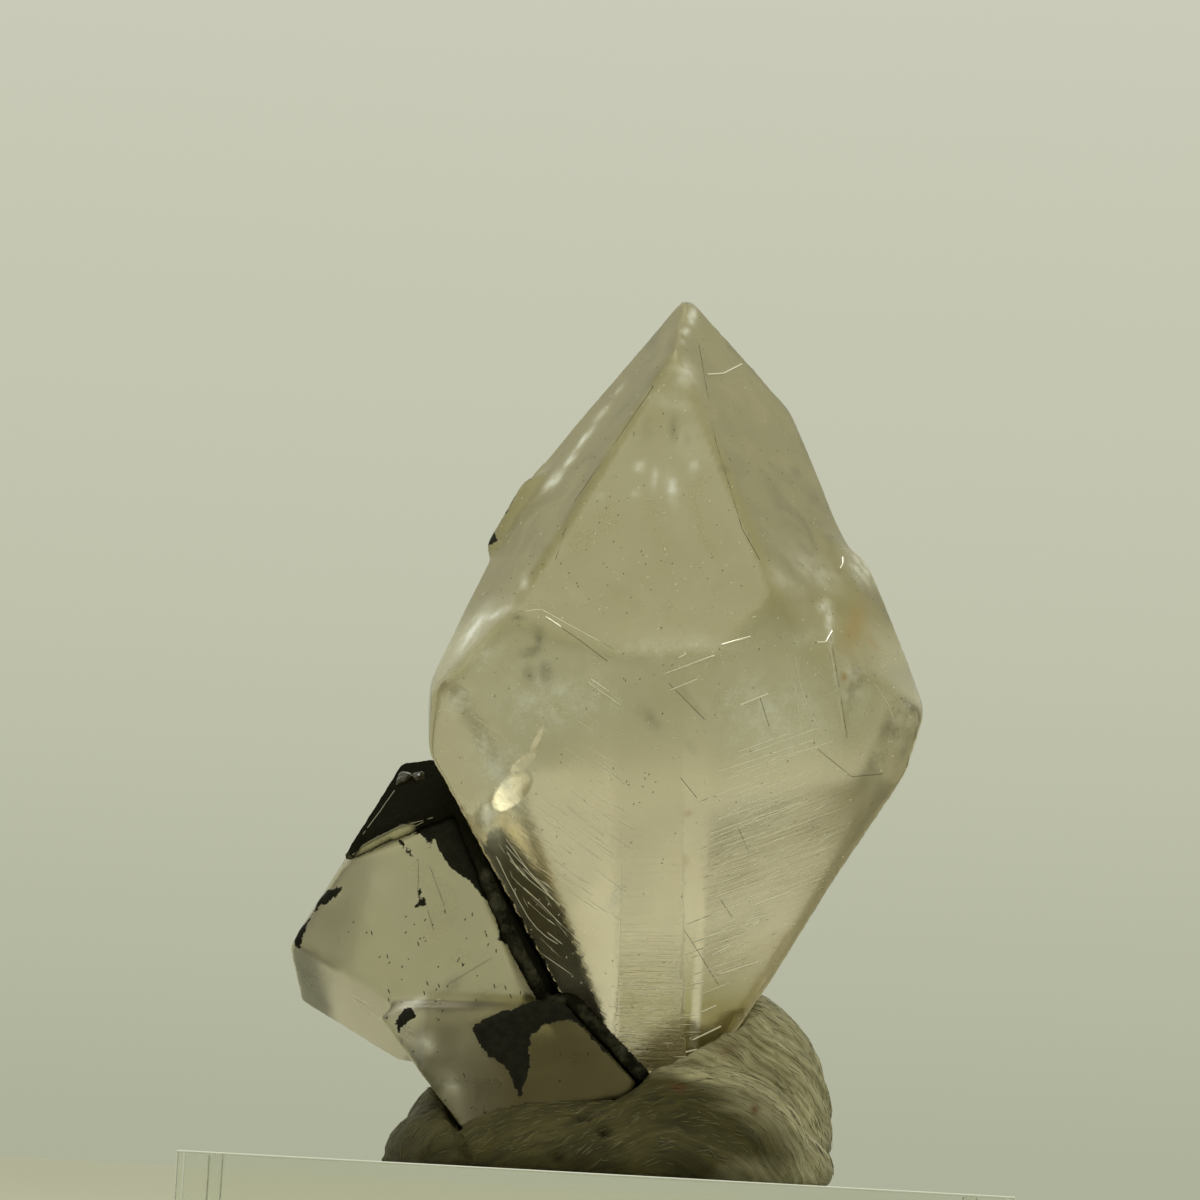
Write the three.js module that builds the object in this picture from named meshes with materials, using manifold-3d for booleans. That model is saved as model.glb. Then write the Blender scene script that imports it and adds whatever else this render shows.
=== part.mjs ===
// Calcite specimen: a large dogtooth crystal grown against a broken, black-coated
// calcite crystal, pressed into mounting putty on a clear acrylic block.
// Millimetres, +Z up, the front faces -Y. The origin is the centre of the block's underside.
import * as THREE from "three";
import { ConvexGeometry } from "three/addons/geometries/ConvexGeometry.js";
import { mergeVertices, toCreasedNormals } from "three/addons/utils/BufferGeometryUtils.js";
import Module from "manifold-3d";

const wasm = await Module();
wasm.setup();

// Driving dimensions

// The acrylic block: a 2 inch square, half an inch thick, with polished bevels.
const BLOCK_SIDE = 50.8;
const BLOCK_HEIGHT = 12.7;
const BLOCK_BEVEL = 0.2;

// Thickness of the black mineral rind, and the clearance between touching pieces.
const RIND = 0.8;
const GAP = 0.3;

// Points closer than this are one point, and planes that span less than this are parallel.
const SAME_POINT = 1e-3;
const PARALLEL = 1e-4;

// Faces that meet at more than this angle, in degrees, keep a crisp edge.
const CREASE = 20;

// A crystal is a list of flat faces about a centre. Of each face, turn is its bearing in
// degrees from the front, positive to the right; lean is how far it tips back from upright
// in degrees, negative where it overhangs; out is its distance from the centre.

// The large crystal stands on its long axis, with the centre at the height of its girdle.
// Its contact face is the one that grew against the broken crystal.
const MAIN_CENTRE = new THREE.Vector3(3.7, 0, 44);
const CONTACT_FACE = { turn: -115, lean: -25.5, out: 12.5 };
const GIRDLE_CORNER = { turn: 105, lean: -12, out: 14.4 };
const MAIN_FACES = [
  // Above the girdle, from the front round to the right
  { turn: -5.5, lean: 19, out: 13.2 },
  { turn: 56, lean: 30.5, out: 13.4 },
  { turn: 109, lean: 18, out: 13.6 },
  { turn: -174, lean: 24, out: 11.4 },
  { turn: -97, lean: 15.5, out: 14.7 },
  { turn: -68, lean: 31, out: 14.7 },
  // The worn tip
  { turn: 20, lean: 76, out: 26.1 },
  // The blunt corners of the girdle, left and right
  { turn: -85, lean: -2, out: 16.5 },
  GIRDLE_CORNER,
  // Below the girdle, from the narrow strip in front round to the right
  { turn: -3.5, lean: -21, out: 11.7 },
  { turn: 31, lean: -18, out: 11.4 },
  { turn: 109, lean: -28.5, out: 13.7 },
  { turn: 175, lean: -24, out: 11.5 },
  CONTACT_FACE,
  { turn: -17, lean: -21, out: 12.1 },
  // The worn lower end, inside the putty
  { turn: 0, lean: -90, out: 24.6 },
];

// The parallel growth that stands proud on the large crystal's right flank, with sloping left sides.
const FLANK_FACES = [
  { turn: 59.5, lean: 26.5, out: 14.2 },
  { turn: 105, lean: 17, out: 14.3 },
  { turn: 90, lean: 70, out: 14 },
  { turn: -25, lean: 25, out: 3.6 },
  { turn: -30, lean: -27, out: 1.65 },
  { turn: -89, lean: 2, out: -8.5 },
  GIRDLE_CORNER,
  { turn: 49, lean: -24.5, out: 12.9 },
  { turn: 107, lean: -28, out: 13.9 },
  { turn: 60, lean: -45, out: 12.2 },
  { turn: 150, lean: 0, out: 8.5 },
];

// A rib of later growth on its upper left edge, as front-view corners [x, z], and its depth.
const RIB_OUTLINE = [
  [-5.9, 59.1],
  [-7.2, 58.4],
  [-9.4, 54],
  [-9.3, 53.3],
  [-7, 53],
  [-4.5, 58],
];
const RIB_FRONT = 0.4;
const RIB_BACK = 3.9;

// The broken crystal at the lower left: its upper block, whose wedge face is coated black.
const UPPER_CENTRE = new THREE.Vector3(-12.5, 1, 29);
const WEDGE_FACE = { turn: -46, lean: 54, out: 6.2 };
const UPPER_FACES = [
  { turn: -6, lean: 4, out: 5.3 },
  { turn: -85, lean: 29, out: 6.1 },
  { turn: -92, lean: -8, out: 8.4 },
  { turn: -53, lean: -52, out: 7.5 },
  { turn: -112, lean: -62, out: 9 },
  { turn: -145, lean: 12, out: 8 },
  { turn: 170, lean: 5, out: 7.4 },
  { turn: 150, lean: 40, out: 8.7 },
  { turn: 60, lean: -70, out: 8.6 },
];

// Its lower block, a cleavage step that stands forward and laps over the large crystal's foot
// up to a sloping rim, where the rind comes out.
const LOWER_CENTRE = new THREE.Vector3(-6, -1, 20);
const LOWER_RIM = { turn: 90, lean: 46, out: 4.9 };
const LOWER_FACES = [
  { turn: -4, lean: 14, out: 5.4 },
  { turn: -10, lean: 66, out: 4.8 },
  { turn: -95, lean: -41, out: 4.8 },
  { turn: -110, lean: 30, out: 6.5 },
  { turn: 50, lean: -72, out: 5.3 },
  { turn: 85, lean: -35, out: 8.1 },
  { turn: 180, lean: 0, out: 4.5 },
  { turn: 0, lean: -90, out: 6.2 },
];

// The putty: rounded lumps squeezed up around the crystals' feet and flattened on the block.
const PUTTY_LUMPS = [
  { centre: [1, -1, 13.5], radii: [14.6, 10.5, 5.4] },
  { centre: [8, 2.5, 16], radii: [7.5, 8.5, 9.4] },
  { centre: [-7, 1.5, 14.5], radii: [5.7, 8, 4.6] },
  { centre: [-9, 1, 12.7], radii: [5.2, 6, 1.3] },
  { centre: [6, -5.5, 15], radii: [7.5, 4.5, 5] },
];
const LUMP_SIDES = 36;

// The plane of a face, placed about its crystal's centre and moved outwards by grow.
function planeOf(face, centre, grow = 0) {
  const bearing = THREE.MathUtils.degToRad(face.turn);
  const tip = THREE.MathUtils.degToRad(face.lean);
  const normal = new THREE.Vector3(
    Math.sin(bearing) * Math.cos(tip),
    -Math.cos(bearing) * Math.cos(tip),
    Math.sin(tip),
  );
  return new THREE.Plane(normal, -face.out - grow - normal.dot(centre));
}

// The point where three planes meet, or null where they run side by side.
function meeting(a, b, c) {
  const across = new THREE.Vector3().crossVectors(b.normal, c.normal);
  const spread = a.normal.dot(across);
  if (Math.abs(spread) < PARALLEL) return null;
  return across
    .multiplyScalar(-a.constant)
    .addScaledVector(new THREE.Vector3().crossVectors(c.normal, a.normal), -b.constant)
    .addScaledVector(new THREE.Vector3().crossVectors(a.normal, b.normal), -c.constant)
    .divideScalar(spread);
}

// The corners of the convex body that a set of planes encloses.
function cornersWithin(planes) {
  const corners = [];
  planes.forEach((a, i) => {
    planes.slice(0, i).forEach((b, j) => {
      planes.slice(0, j).forEach((c) => {
        const corner = meeting(a, b, c);
        if (corner && planes.every((p) => p.distanceToPoint(corner) < SAME_POINT)) corners.push(corner);
      });
    });
  });
  return corners;
}

// A closed geometry as a solid that can be joined and cut.
function solid(geometry) {
  const bare = geometry.clone();
  bare.deleteAttribute("normal");
  bare.deleteAttribute("uv");
  const merged = mergeVertices(bare, SAME_POINT);
  return new wasm.Manifold(
    new wasm.Mesh({
      numProp: 3,
      vertProperties: new Float32Array(merged.attributes.position.array),
      triVerts: new Uint32Array(merged.index.array),
    }),
  );
}

// The convex solid that a set of planes encloses.
function enclosed(planes) {
  return solid(new ConvexGeometry(cornersWithin(planes)));
}

// The planes of a crystal's faces, moved outwards by grow.
function planesOf(faces, centre, grow = 0) {
  return faces.map((face) => planeOf(face, centre, grow));
}

// The plane of the contact, at a distance from the large crystal, facing back towards it.
function contactAt(distance) {
  return planeOf(CONTACT_FACE, MAIN_CENTRE, distance).negate();
}

// The large crystal with the growth on its flank and the rib on its edge.
function mainCrystal(grow = 0) {
  const tooth = enclosed(planesOf(MAIN_FACES, MAIN_CENTRE, grow));
  const flank = enclosed(planesOf(FLANK_FACES, MAIN_CENTRE, grow));
  const ribCorners = RIB_OUTLINE.flatMap(([x, z]) => [
    new THREE.Vector3(x, RIB_FRONT, z),
    new THREE.Vector3(x, RIB_BACK, z),
  ]);
  return tooth.add(flank).add(solid(new ConvexGeometry(ribCorners)));
}

// The broken crystal's upper block, cut off at a distance from the contact and moved outwards by grow.
function upperBlock(distance, grow = 0) {
  return enclosed([...planesOf([...UPPER_FACES, WEDGE_FACE], UPPER_CENTRE, grow), contactAt(distance)]);
}

// The broken crystal's two blocks, clear of the large crystal by the rind and its gaps.
function sideCrystal() {
  const away = RIND + 2 * GAP;
  const lower = enclosed(planesOf([...LOWER_FACES, LOWER_RIM], LOWER_CENTRE));
  return upperBlock(away).add(lower.subtract(mainCrystal(away)));
}

// The room that the broken crystal and its rind take up in the putty.
function sideRoom() {
  const lower = planesOf(LOWER_FACES, LOWER_CENTRE, GAP);
  const rim = planeOf(LOWER_RIM, LOWER_CENTRE, RIND + 2 * GAP);
  return upperBlock(0, GAP).add(enclosed([...lower, rim]));
}

// The black rind: a seam round the large crystal where the broken one meets it, and a coat on
// the wedge face and on the lower block's rim.
function blackCrust() {
  const upper = planesOf(UPPER_FACES, UPPER_CENTRE);
  const lower = planesOf(LOWER_FACES, LOWER_CENTRE);
  const coatTop = planeOf(WEDGE_FACE, UPPER_CENTRE, RIND + GAP);
  const coatUnder = planeOf(WEDGE_FACE, UPPER_CENTRE, GAP).negate();
  const rimTop = planeOf(LOWER_RIM, LOWER_CENTRE, RIND + GAP);
  const rimUnder = planeOf(LOWER_RIM, LOWER_CENTRE, GAP).negate();
  const seam = enclosed([...upper, coatTop, contactAt(GAP)])
    .add(enclosed([...lower, rimTop]))
    .intersect(mainCrystal(RIND + GAP));
  const rim = enclosed([...lower, rimTop, rimUnder]).subtract(upperBlock(RIND + GAP, GAP));
  return enclosed([...upper, coatTop, coatUnder, contactAt(GAP)])
    .add(seam)
    .add(rim)
    .subtract(mainCrystal(GAP));
}

// The putty, flat on the block and pressed up to the crystals and the rind.
function putty() {
  const lumps = PUTTY_LUMPS.map(({ centre, radii }) => {
    const ball = new THREE.SphereGeometry(1, LUMP_SIDES, LUMP_SIDES / 2).rotateX(Math.PI / 2);
    return solid(ball.scale(...radii).translate(...centre));
  });
  const below = new THREE.BoxGeometry(BLOCK_SIDE, BLOCK_SIDE, BLOCK_HEIGHT);
  return lumps
    .reduce((joined, lump) => joined.add(lump))
    .subtract(solid(below.translate(0, 0, BLOCK_HEIGHT / 2)))
    .subtract(mainCrystal(GAP))
    .subtract(sideRoom());
}

// The clear block, a bevelled slab.
function acrylicBlock() {
  const half = BLOCK_SIDE / 2;
  const outline = new THREE.Shape([
    new THREE.Vector2(-half, -half),
    new THREE.Vector2(half, -half),
    new THREE.Vector2(half, half),
    new THREE.Vector2(-half, half),
  ]);
  const slab = new THREE.ExtrudeGeometry(outline, {
    depth: BLOCK_HEIGHT - 2 * BLOCK_BEVEL,
    bevelThickness: BLOCK_BEVEL,
    bevelSize: BLOCK_BEVEL,
    bevelOffset: -BLOCK_BEVEL,
    bevelSegments: 1,
  });
  return solid(slab.translate(0, 0, BLOCK_BEVEL));
}

// A solid as a named mesh with its finish.
function piece(name, made, finish) {
  const { vertProperties, triVerts } = made.getMesh();
  const geometry = new THREE.BufferGeometry();
  geometry.setAttribute("position", new THREE.BufferAttribute(vertProperties, 3));
  geometry.setIndex(new THREE.BufferAttribute(triVerts, 1));
  const mesh = new THREE.Mesh(
    toCreasedNormals(geometry, THREE.MathUtils.degToRad(CREASE)),
    new THREE.MeshStandardMaterial({ metalness: 0, ...finish }),
  );
  mesh.name = name;
  return mesh;
}

const specimen = new THREE.Group();
specimen.add(
  piece("main_crystal", mainCrystal(), { color: 0xcfc8a6, roughness: 0.25 }),
  piece("side_crystal", sideCrystal(), { color: 0xd2ccb8, roughness: 0.35 }),
  piece("black_crust", blackCrust(), { color: 0x2b2a25, roughness: 0.6 }),
  piece("putty", putty(), { color: 0x8f8c7c, roughness: 0.55 }),
  piece("acrylic_block", acrylicBlock(), { color: 0xd9dcd0, roughness: 0.08 }),
);

export default specimen;
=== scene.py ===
import math

import bmesh
import bpy
import numpy as np
from bpy.props import FloatProperty, FloatVectorProperty, IntProperty, PointerProperty
from mathutils import Matrix, Vector, noise
from mathutils.bvhtree import BVHTree


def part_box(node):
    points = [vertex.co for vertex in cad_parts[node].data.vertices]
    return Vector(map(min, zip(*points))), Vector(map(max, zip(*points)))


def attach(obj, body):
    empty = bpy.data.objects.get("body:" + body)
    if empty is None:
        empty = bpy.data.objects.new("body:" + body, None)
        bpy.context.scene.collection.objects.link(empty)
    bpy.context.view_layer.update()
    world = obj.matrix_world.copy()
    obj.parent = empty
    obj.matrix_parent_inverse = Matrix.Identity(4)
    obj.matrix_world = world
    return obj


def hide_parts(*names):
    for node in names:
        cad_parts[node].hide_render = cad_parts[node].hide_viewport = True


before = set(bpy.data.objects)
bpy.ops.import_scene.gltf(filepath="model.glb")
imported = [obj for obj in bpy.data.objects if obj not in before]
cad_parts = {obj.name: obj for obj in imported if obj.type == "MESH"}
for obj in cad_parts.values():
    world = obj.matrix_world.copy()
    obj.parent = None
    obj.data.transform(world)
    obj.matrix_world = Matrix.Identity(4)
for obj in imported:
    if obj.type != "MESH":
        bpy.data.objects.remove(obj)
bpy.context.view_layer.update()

bl_info = {
    "name": "Calcite specimen",
    "version": (1, 0, 0),
    "blender": (4, 5, 0),
    "location": "View3D > Sidebar > Specimen",
    "description": "Dresses the packed calcite specimen: crystals, black rind, putty and acrylic block",
    "category": "Object",
}

MM = 0.001


# Colours

def linear(hex_colour):
    """An sRGB hex colour as linear red, green, blue."""
    parts = [int(hex_colour[i:i + 2], 16) / 255 for i in (1, 3, 5)]
    return tuple(c / 12.92 if c <= 0.04045 else ((c + 0.055) / 1.055) ** 2.4 for c in parts)


def opaque(colour):
    """A colour with a full alpha, as a shader socket takes it."""
    return (*colour, 1.0)


# Settings that a user would change

class CalciteSettings(bpy.types.PropertyGroup):
    """Both crystals."""

    skin: FloatProperty(
        name="Skin step", description="Edge of the small quads that the crystals' skins are made of",
        default=0.26 * MM, min=0.15 * MM, max=1.0 * MM, unit="LENGTH", precision=5)
    wear: IntProperty(
        name="Edge wear", description="Smoothing passes that round the crystals' edges",
        default=5, min=0, max=40)
    waviness: FloatProperty(
        name="Waviness", description="Height of the slow unevenness of the faces",
        default=0.05 * MM, min=0.0, max=0.5 * MM, unit="LENGTH", precision=5)
    tint: FloatVectorProperty(
        name="Tint", description="Colour that light keeps in the depth of the crystal",
        default=linear("#d1c07e"), size=3, subtype="COLOR", min=0.0, max=1.0)
    density: FloatProperty(
        name="Tint depth", description="How strongly a metre of crystal colours the light",
        default=22.0, min=0.0, max=200.0)
    # This white is also laid on as painted highlights.
    milk_and_highlight: FloatVectorProperty(
        name="Milky patches", description="Colour of bruised and milky spots",
        default=linear("#eef0ea"), size=3, subtype="COLOR", min=0.0, max=1.0)


class RindSettings(bpy.types.PropertyGroup):
    """The black mineral rind."""

    skin: FloatProperty(
        name="Skin step", description="Edge of the small quads of the rind's skin",
        default=0.2 * MM, min=0.1 * MM, max=1.0 * MM, unit="LENGTH", precision=5)
    grain: FloatProperty(
        name="Grain", description="Height of the rind's rough grain",
        default=0.12 * MM, min=0.0, max=0.5 * MM, unit="LENGTH", precision=5)
    colour: FloatVectorProperty(
        name="Colour", description="Colour of the black mineral",
        default=linear("#0d0d08"), size=3, subtype="COLOR", min=0.0, max=1.0)


class PuttySettings(bpy.types.PropertyGroup):
    """The mounting putty."""

    skin: FloatProperty(
        name="Skin step", description="Edge of the small quads of the putty's skin",
        default=0.25 * MM, min=0.15 * MM, max=1.0 * MM, unit="LENGTH", precision=5)
    folds: FloatProperty(
        name="Folds", description="Height of the pressed folds",
        default=0.28 * MM, min=0.0, max=2.0 * MM, unit="LENGTH", precision=5)
    colour: FloatVectorProperty(
        name="Colour", description="Colour of the putty between its streaks",
        default=linear("#2a2818"), size=3, subtype="COLOR", min=0.0, max=1.0)


class BlockSettings(bpy.types.PropertyGroup):
    """The acrylic block."""

    rounding: FloatProperty(
        name="Edge rounding", description="Rounding of the polished edges",
        default=0.14 * MM, min=0.01 * MM, max=0.5 * MM, unit="LENGTH", precision=5)
    corner: FloatProperty(
        name="Corner cut", description="Cut of the four upright corners",
        default=0.45 * MM, min=0.1 * MM, max=2.0 * MM, unit="LENGTH", precision=5)
    tint: FloatVectorProperty(
        name="Tint", description="Colour that light keeps in the depth of the block",
        default=linear("#e6ead8"), size=3, subtype="COLOR", min=0.0, max=1.0)


class StageSettings(bpy.types.PropertyGroup):
    """The floor, the light and the camera."""

    floor: FloatVectorProperty(
        name="Floor", description="Colour of the pale floor",
        default=linear("#c0c1ad"), size=3, subtype="COLOR", min=0.0, max=1.0)
    top_light: FloatProperty(
        name="Top light", description="Power of the soft light overhead",
        default=1.5, min=0.0, max=50.0, unit="POWER")
    front_fill: FloatProperty(
        name="Front fill", description="How bright the room in front is, beside the backdrop",
        default=0.95, min=0.0, max=1.0, subtype="FACTOR")
    lens: FloatProperty(
        name="Lens", description="Focal length of the camera",
        default=150.0, min=10.0, max=500.0, unit="CAMERA")


# Nodes and materials

def fill(tree, node, inputs):
    """Fills a node's inputs with links, with sRGB hex colours or with plain values."""
    for key, value in inputs.items():
        if isinstance(value, bpy.types.NodeSocket):
            tree.links.new(value, node.inputs[key])
        elif isinstance(value, str) and value.startswith("#"):
            node.inputs[key].default_value = opaque(linear(value))
        else:
            node.inputs[key].default_value = value


def add_node(tree, kind, inputs=None, **settings):
    """Adds a node, sets its settings and fills its inputs."""
    node = tree.nodes.new(kind)
    for name, value in settings.items():
        setattr(node, name, value)
    fill(tree, node, inputs or {})
    return node


def reckoned(tree, operation, *values, clamp=False):
    """The result of a sum on values or links."""
    node = add_node(tree, "ShaderNodeMath", dict(enumerate(values)), operation=operation, use_clamp=clamp)
    return node.outputs["Value"]


def noise_at(tree, place, scale, detail=2.0, roughness=0.5, distortion=0.0):
    """Noise between 0 and 1 with features of about one part in scale of the place's unit."""
    node = add_node(tree, "ShaderNodeTexNoise", {
        "Vector": place, "Scale": scale, "Detail": detail, "Roughness": roughness, "Distortion": distortion})
    return node.outputs["Fac"]


def spread(tree, value, low, high, to_low=0.0, to_high=1.0):
    """A value between low and high, mapped to another range and held in it."""
    node = add_node(tree, "ShaderNodeMapRange", {
        "Value": value, "From Min": low, "From Max": high, "To Min": to_low, "To Max": to_high})
    return node.outputs["Result"]


def kept_numbers(tree, *names):
    """Numbers that a mesh keeps for each of its points, by name."""
    return {n: add_node(tree, "ShaderNodeAttribute", attribute_name=n).outputs["Fac"] for n in names}


def own_place(tree):
    """The place in the object's own coordinates."""
    return add_node(tree, "ShaderNodeTexCoord").outputs["Object"]


def drawn_out(tree, kept, rates):
    """A place along and across the lines that a mesh keeps, drawn out by rates."""
    place = add_node(tree, "ShaderNodeCombineXYZ", {"X": kept["along"], "Y": kept["across"]})
    longer = {0: place.outputs["Vector"], 1: rates}
    return add_node(tree, "ShaderNodeVectorMath", longer, operation="MULTIPLY").outputs["Vector"]


def toned(tree, colour, *layers):
    """A colour with others laid over it in turn, each by a factor."""
    for factor, tone in layers:
        mix = add_node(tree, "ShaderNodeMix", {"Factor": factor, "A": colour, "B": tone}, data_type="RGBA")
        colour = mix.outputs["Result"]
    return colour


def new_material(name):
    """An empty node material with its principled shader joined to the output."""
    material = bpy.data.materials.new(name)
    material.use_nodes = True
    tree = material.node_tree
    tree.nodes.clear()
    shader = add_node(tree, "ShaderNodeBsdfPrincipled")
    output = add_node(tree, "ShaderNodeOutputMaterial", {"Surface": shader.outputs["BSDF"]})
    return material, tree, shader, output


def plain_material(name, **values):
    """A material with plain values on its shader, given by names with underscores for spaces."""
    material, tree, shader, _ = new_material(name)
    fill(tree, shader, {key.replace("_", " "): value for key, value in values.items()})
    return material


def tint_depth(tree, output, colour, density):
    """Tints the light in the depth of a clear material."""
    depth = add_node(tree, "ShaderNodeVolumeAbsorption", {"Color": opaque(colour), "Density": density})
    tree.links.new(depth.outputs["Volume"], output.inputs["Volume"])


# Meshes

def points_of(mesh):
    """A mesh's points in millimetres, one row each."""
    flat = np.empty(len(mesh.vertices) * 3, np.float32)
    mesh.vertices.foreach_get("co", flat)
    return flat.reshape(-1, 3).astype(float) / MM


def set_points(mesh, points):
    """Moves a mesh's points to places in millimetres."""
    mesh.vertices.foreach_set("co", (points * MM).astype(np.float32).ravel())
    mesh.update()


def normals_of(mesh):
    """The outward directions at a mesh's points."""
    flat = np.empty(len(mesh.vertices) * 3, np.float32)
    mesh.vertices.foreach_get("normal", flat)
    return flat.reshape(-1, 3).astype(float)


def store(mesh, name, values):
    """Keeps a number or a direction for each point of a mesh, for its material or nodes."""
    values = np.asarray(values, np.float32)
    kind, field = ("FLOAT_VECTOR", "vector") if values.ndim == 2 else ("FLOAT", "value")
    layer = mesh.attributes.new(name, kind, "POINT")
    layer.data.foreach_set(field, values.ravel())


def mesh_from(body, name):
    """A new mesh from a bmesh, which is freed."""
    mesh = bpy.data.meshes.new(name)
    body.to_mesh(mesh)
    body.free()
    return mesh


def merged_copy(node):
    """A closed copy of a CAD node's mesh, with its loose triangles merged."""
    body = bmesh.new()
    body.from_mesh(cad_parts[node].data)
    bmesh.ops.remove_doubles(body, verts=body.verts, dist=1e-3 * MM)
    return mesh_from(body, node + "_copy")


def new_object(name, mesh):
    """A scene object at the origin that shows a mesh."""
    made = bpy.data.objects.new(name, mesh)
    bpy.context.scene.collection.objects.link(made)
    return made


def finished(made):
    """Turns an object's modifiers into a plain mesh."""
    graph = bpy.context.evaluated_depsgraph_get()
    mesh = bpy.data.meshes.new_from_object(made.evaluated_get(graph))
    made.modifiers.clear()
    made.data = mesh
    mesh.name = made.name
    return made


def skinned(name, mesh, step):
    """An object with one closed skin of small quads round a closed mesh."""
    made = new_object(name, mesh)
    skin = made.modifiers.new("skin", "REMESH")
    skin.mode = "VOXEL"
    skin.voxel_size = step
    return finished(made)


def smoothed(mesh, points, passes):
    """Points drawn halfway to the middle of their neighbours, which rounds edges and keeps flats."""
    pairs = np.empty(len(mesh.edges) * 2, np.int32)
    mesh.edges.foreach_get("vertices", pairs)
    ends = pairs.reshape(-1, 2)
    first, second = np.concatenate((ends, ends[:, ::-1])).T
    count = np.bincount(first)
    for _ in range(passes):
        middle = [np.bincount(first, column[second]) / count for column in points.T]
        points = points + 0.5 * (np.column_stack(middle) - points)
    return points


def unevenness(points, size, seed):
    """Soft noise between about -1 and 1 with features of a size in millimetres."""
    shift = Vector((seed * 17.3, seed * 5.1, seed * 29.7))
    return np.array([noise.noise(Vector(p) / size + shift) for p in points])


def soft_spots(points, spots):
    """How deep each point lies in soft ovals: x, z, length, width, slope in degrees, strength."""
    depth = np.zeros(len(points))
    for x, z, length, width, slope, strength in spots:
        turn = math.radians(slope)
        across, up = points[:, 0] - x, points[:, 2] - z
        along = (across * math.cos(turn) + up * math.sin(turn)) / (length / 2)
        aside = (up * math.cos(turn) - across * math.sin(turn)) / (width / 2)
        depth = np.maximum(depth, strength * np.exp(-(along ** 2 + aside ** 2)))
    return depth


def depth_inside(spot, outline):
    """How far flat spots lie inside an outline in millimetres, negative outside."""
    corners = np.array(outline)
    nearest = np.full(len(spot), np.inf)
    inside = np.zeros(len(spot), bool)
    for a, b in zip(corners, np.roll(corners, -1, axis=0)):
        edge = b - a
        part = np.clip(((spot - a) @ edge) / (edge @ edge), 0, 1)
        nearest = np.minimum(nearest, np.linalg.norm(spot - a - part[:, None] * edge, axis=1))
        if a[1] != b[1]:
            spans = (a[1] > spot[:, 1]) != (b[1] > spot[:, 1])
            crossing = a[0] + (spot[:, 1] - a[1]) * edge[0] / edge[1]
            inside ^= spans & (spot[:, 0] < crossing)
    return np.where(inside, nearest, -nearest)


def facing(turn, lean):
    """The direction of a crystal face: turn from the front to the right, lean back from upright."""
    bearing, tip = math.radians(turn), math.radians(lean)
    return np.array((
        math.sin(bearing) * math.cos(tip), -math.cos(bearing) * math.cos(tip), math.sin(tip)))


def on_face(normals, turn, lean, reach):
    """1 where the surface faces a crystal face's way, fading to 0 at a reach in degrees."""
    angle = np.degrees(np.arccos(np.clip(normals @ facing(turn, lean), -1, 1)))
    return np.clip(2 - 2 * angle / reach, 0, 1)


def give(made, material, slot, *nodes):
    """Gives a finished piece its material and its body, and hides the CAD nodes it stands for; its slot is
    not used.
    """
    made.data.materials.clear()
    made.data.materials.append(material)
    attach(made, "root")
    if nodes:
        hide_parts(*nodes)


# Scattered and drawn details

def new_tree(name, sockets):
    """A geometry node tree with named inputs, and its input and output nodes."""
    tree = bpy.data.node_groups.new(name, "GeometryNodeTree")
    tree.interface.new_socket("Geometry", in_out="INPUT", socket_type="NodeSocketGeometry")
    for label, kind in sockets:
        tree.interface.new_socket(label, in_out="INPUT", socket_type=kind)
    tree.interface.new_socket("Geometry", in_out="OUTPUT", socket_type="NodeSocketGeometry")
    return tree, add_node(tree, "NodeGroupInput").outputs


def close_tree(tree, geometry, material):
    """Ends a tree in real geometry with a material."""
    real = add_node(tree, "GeometryNodeRealizeInstances", {"Geometry": geometry})
    dressed = add_node(tree, "GeometryNodeSetMaterial", {
        "Geometry": real.outputs["Geometry"], "Material": material})
    add_node(tree, "NodeGroupOutput", {"Geometry": dressed.outputs["Geometry"]})


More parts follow.
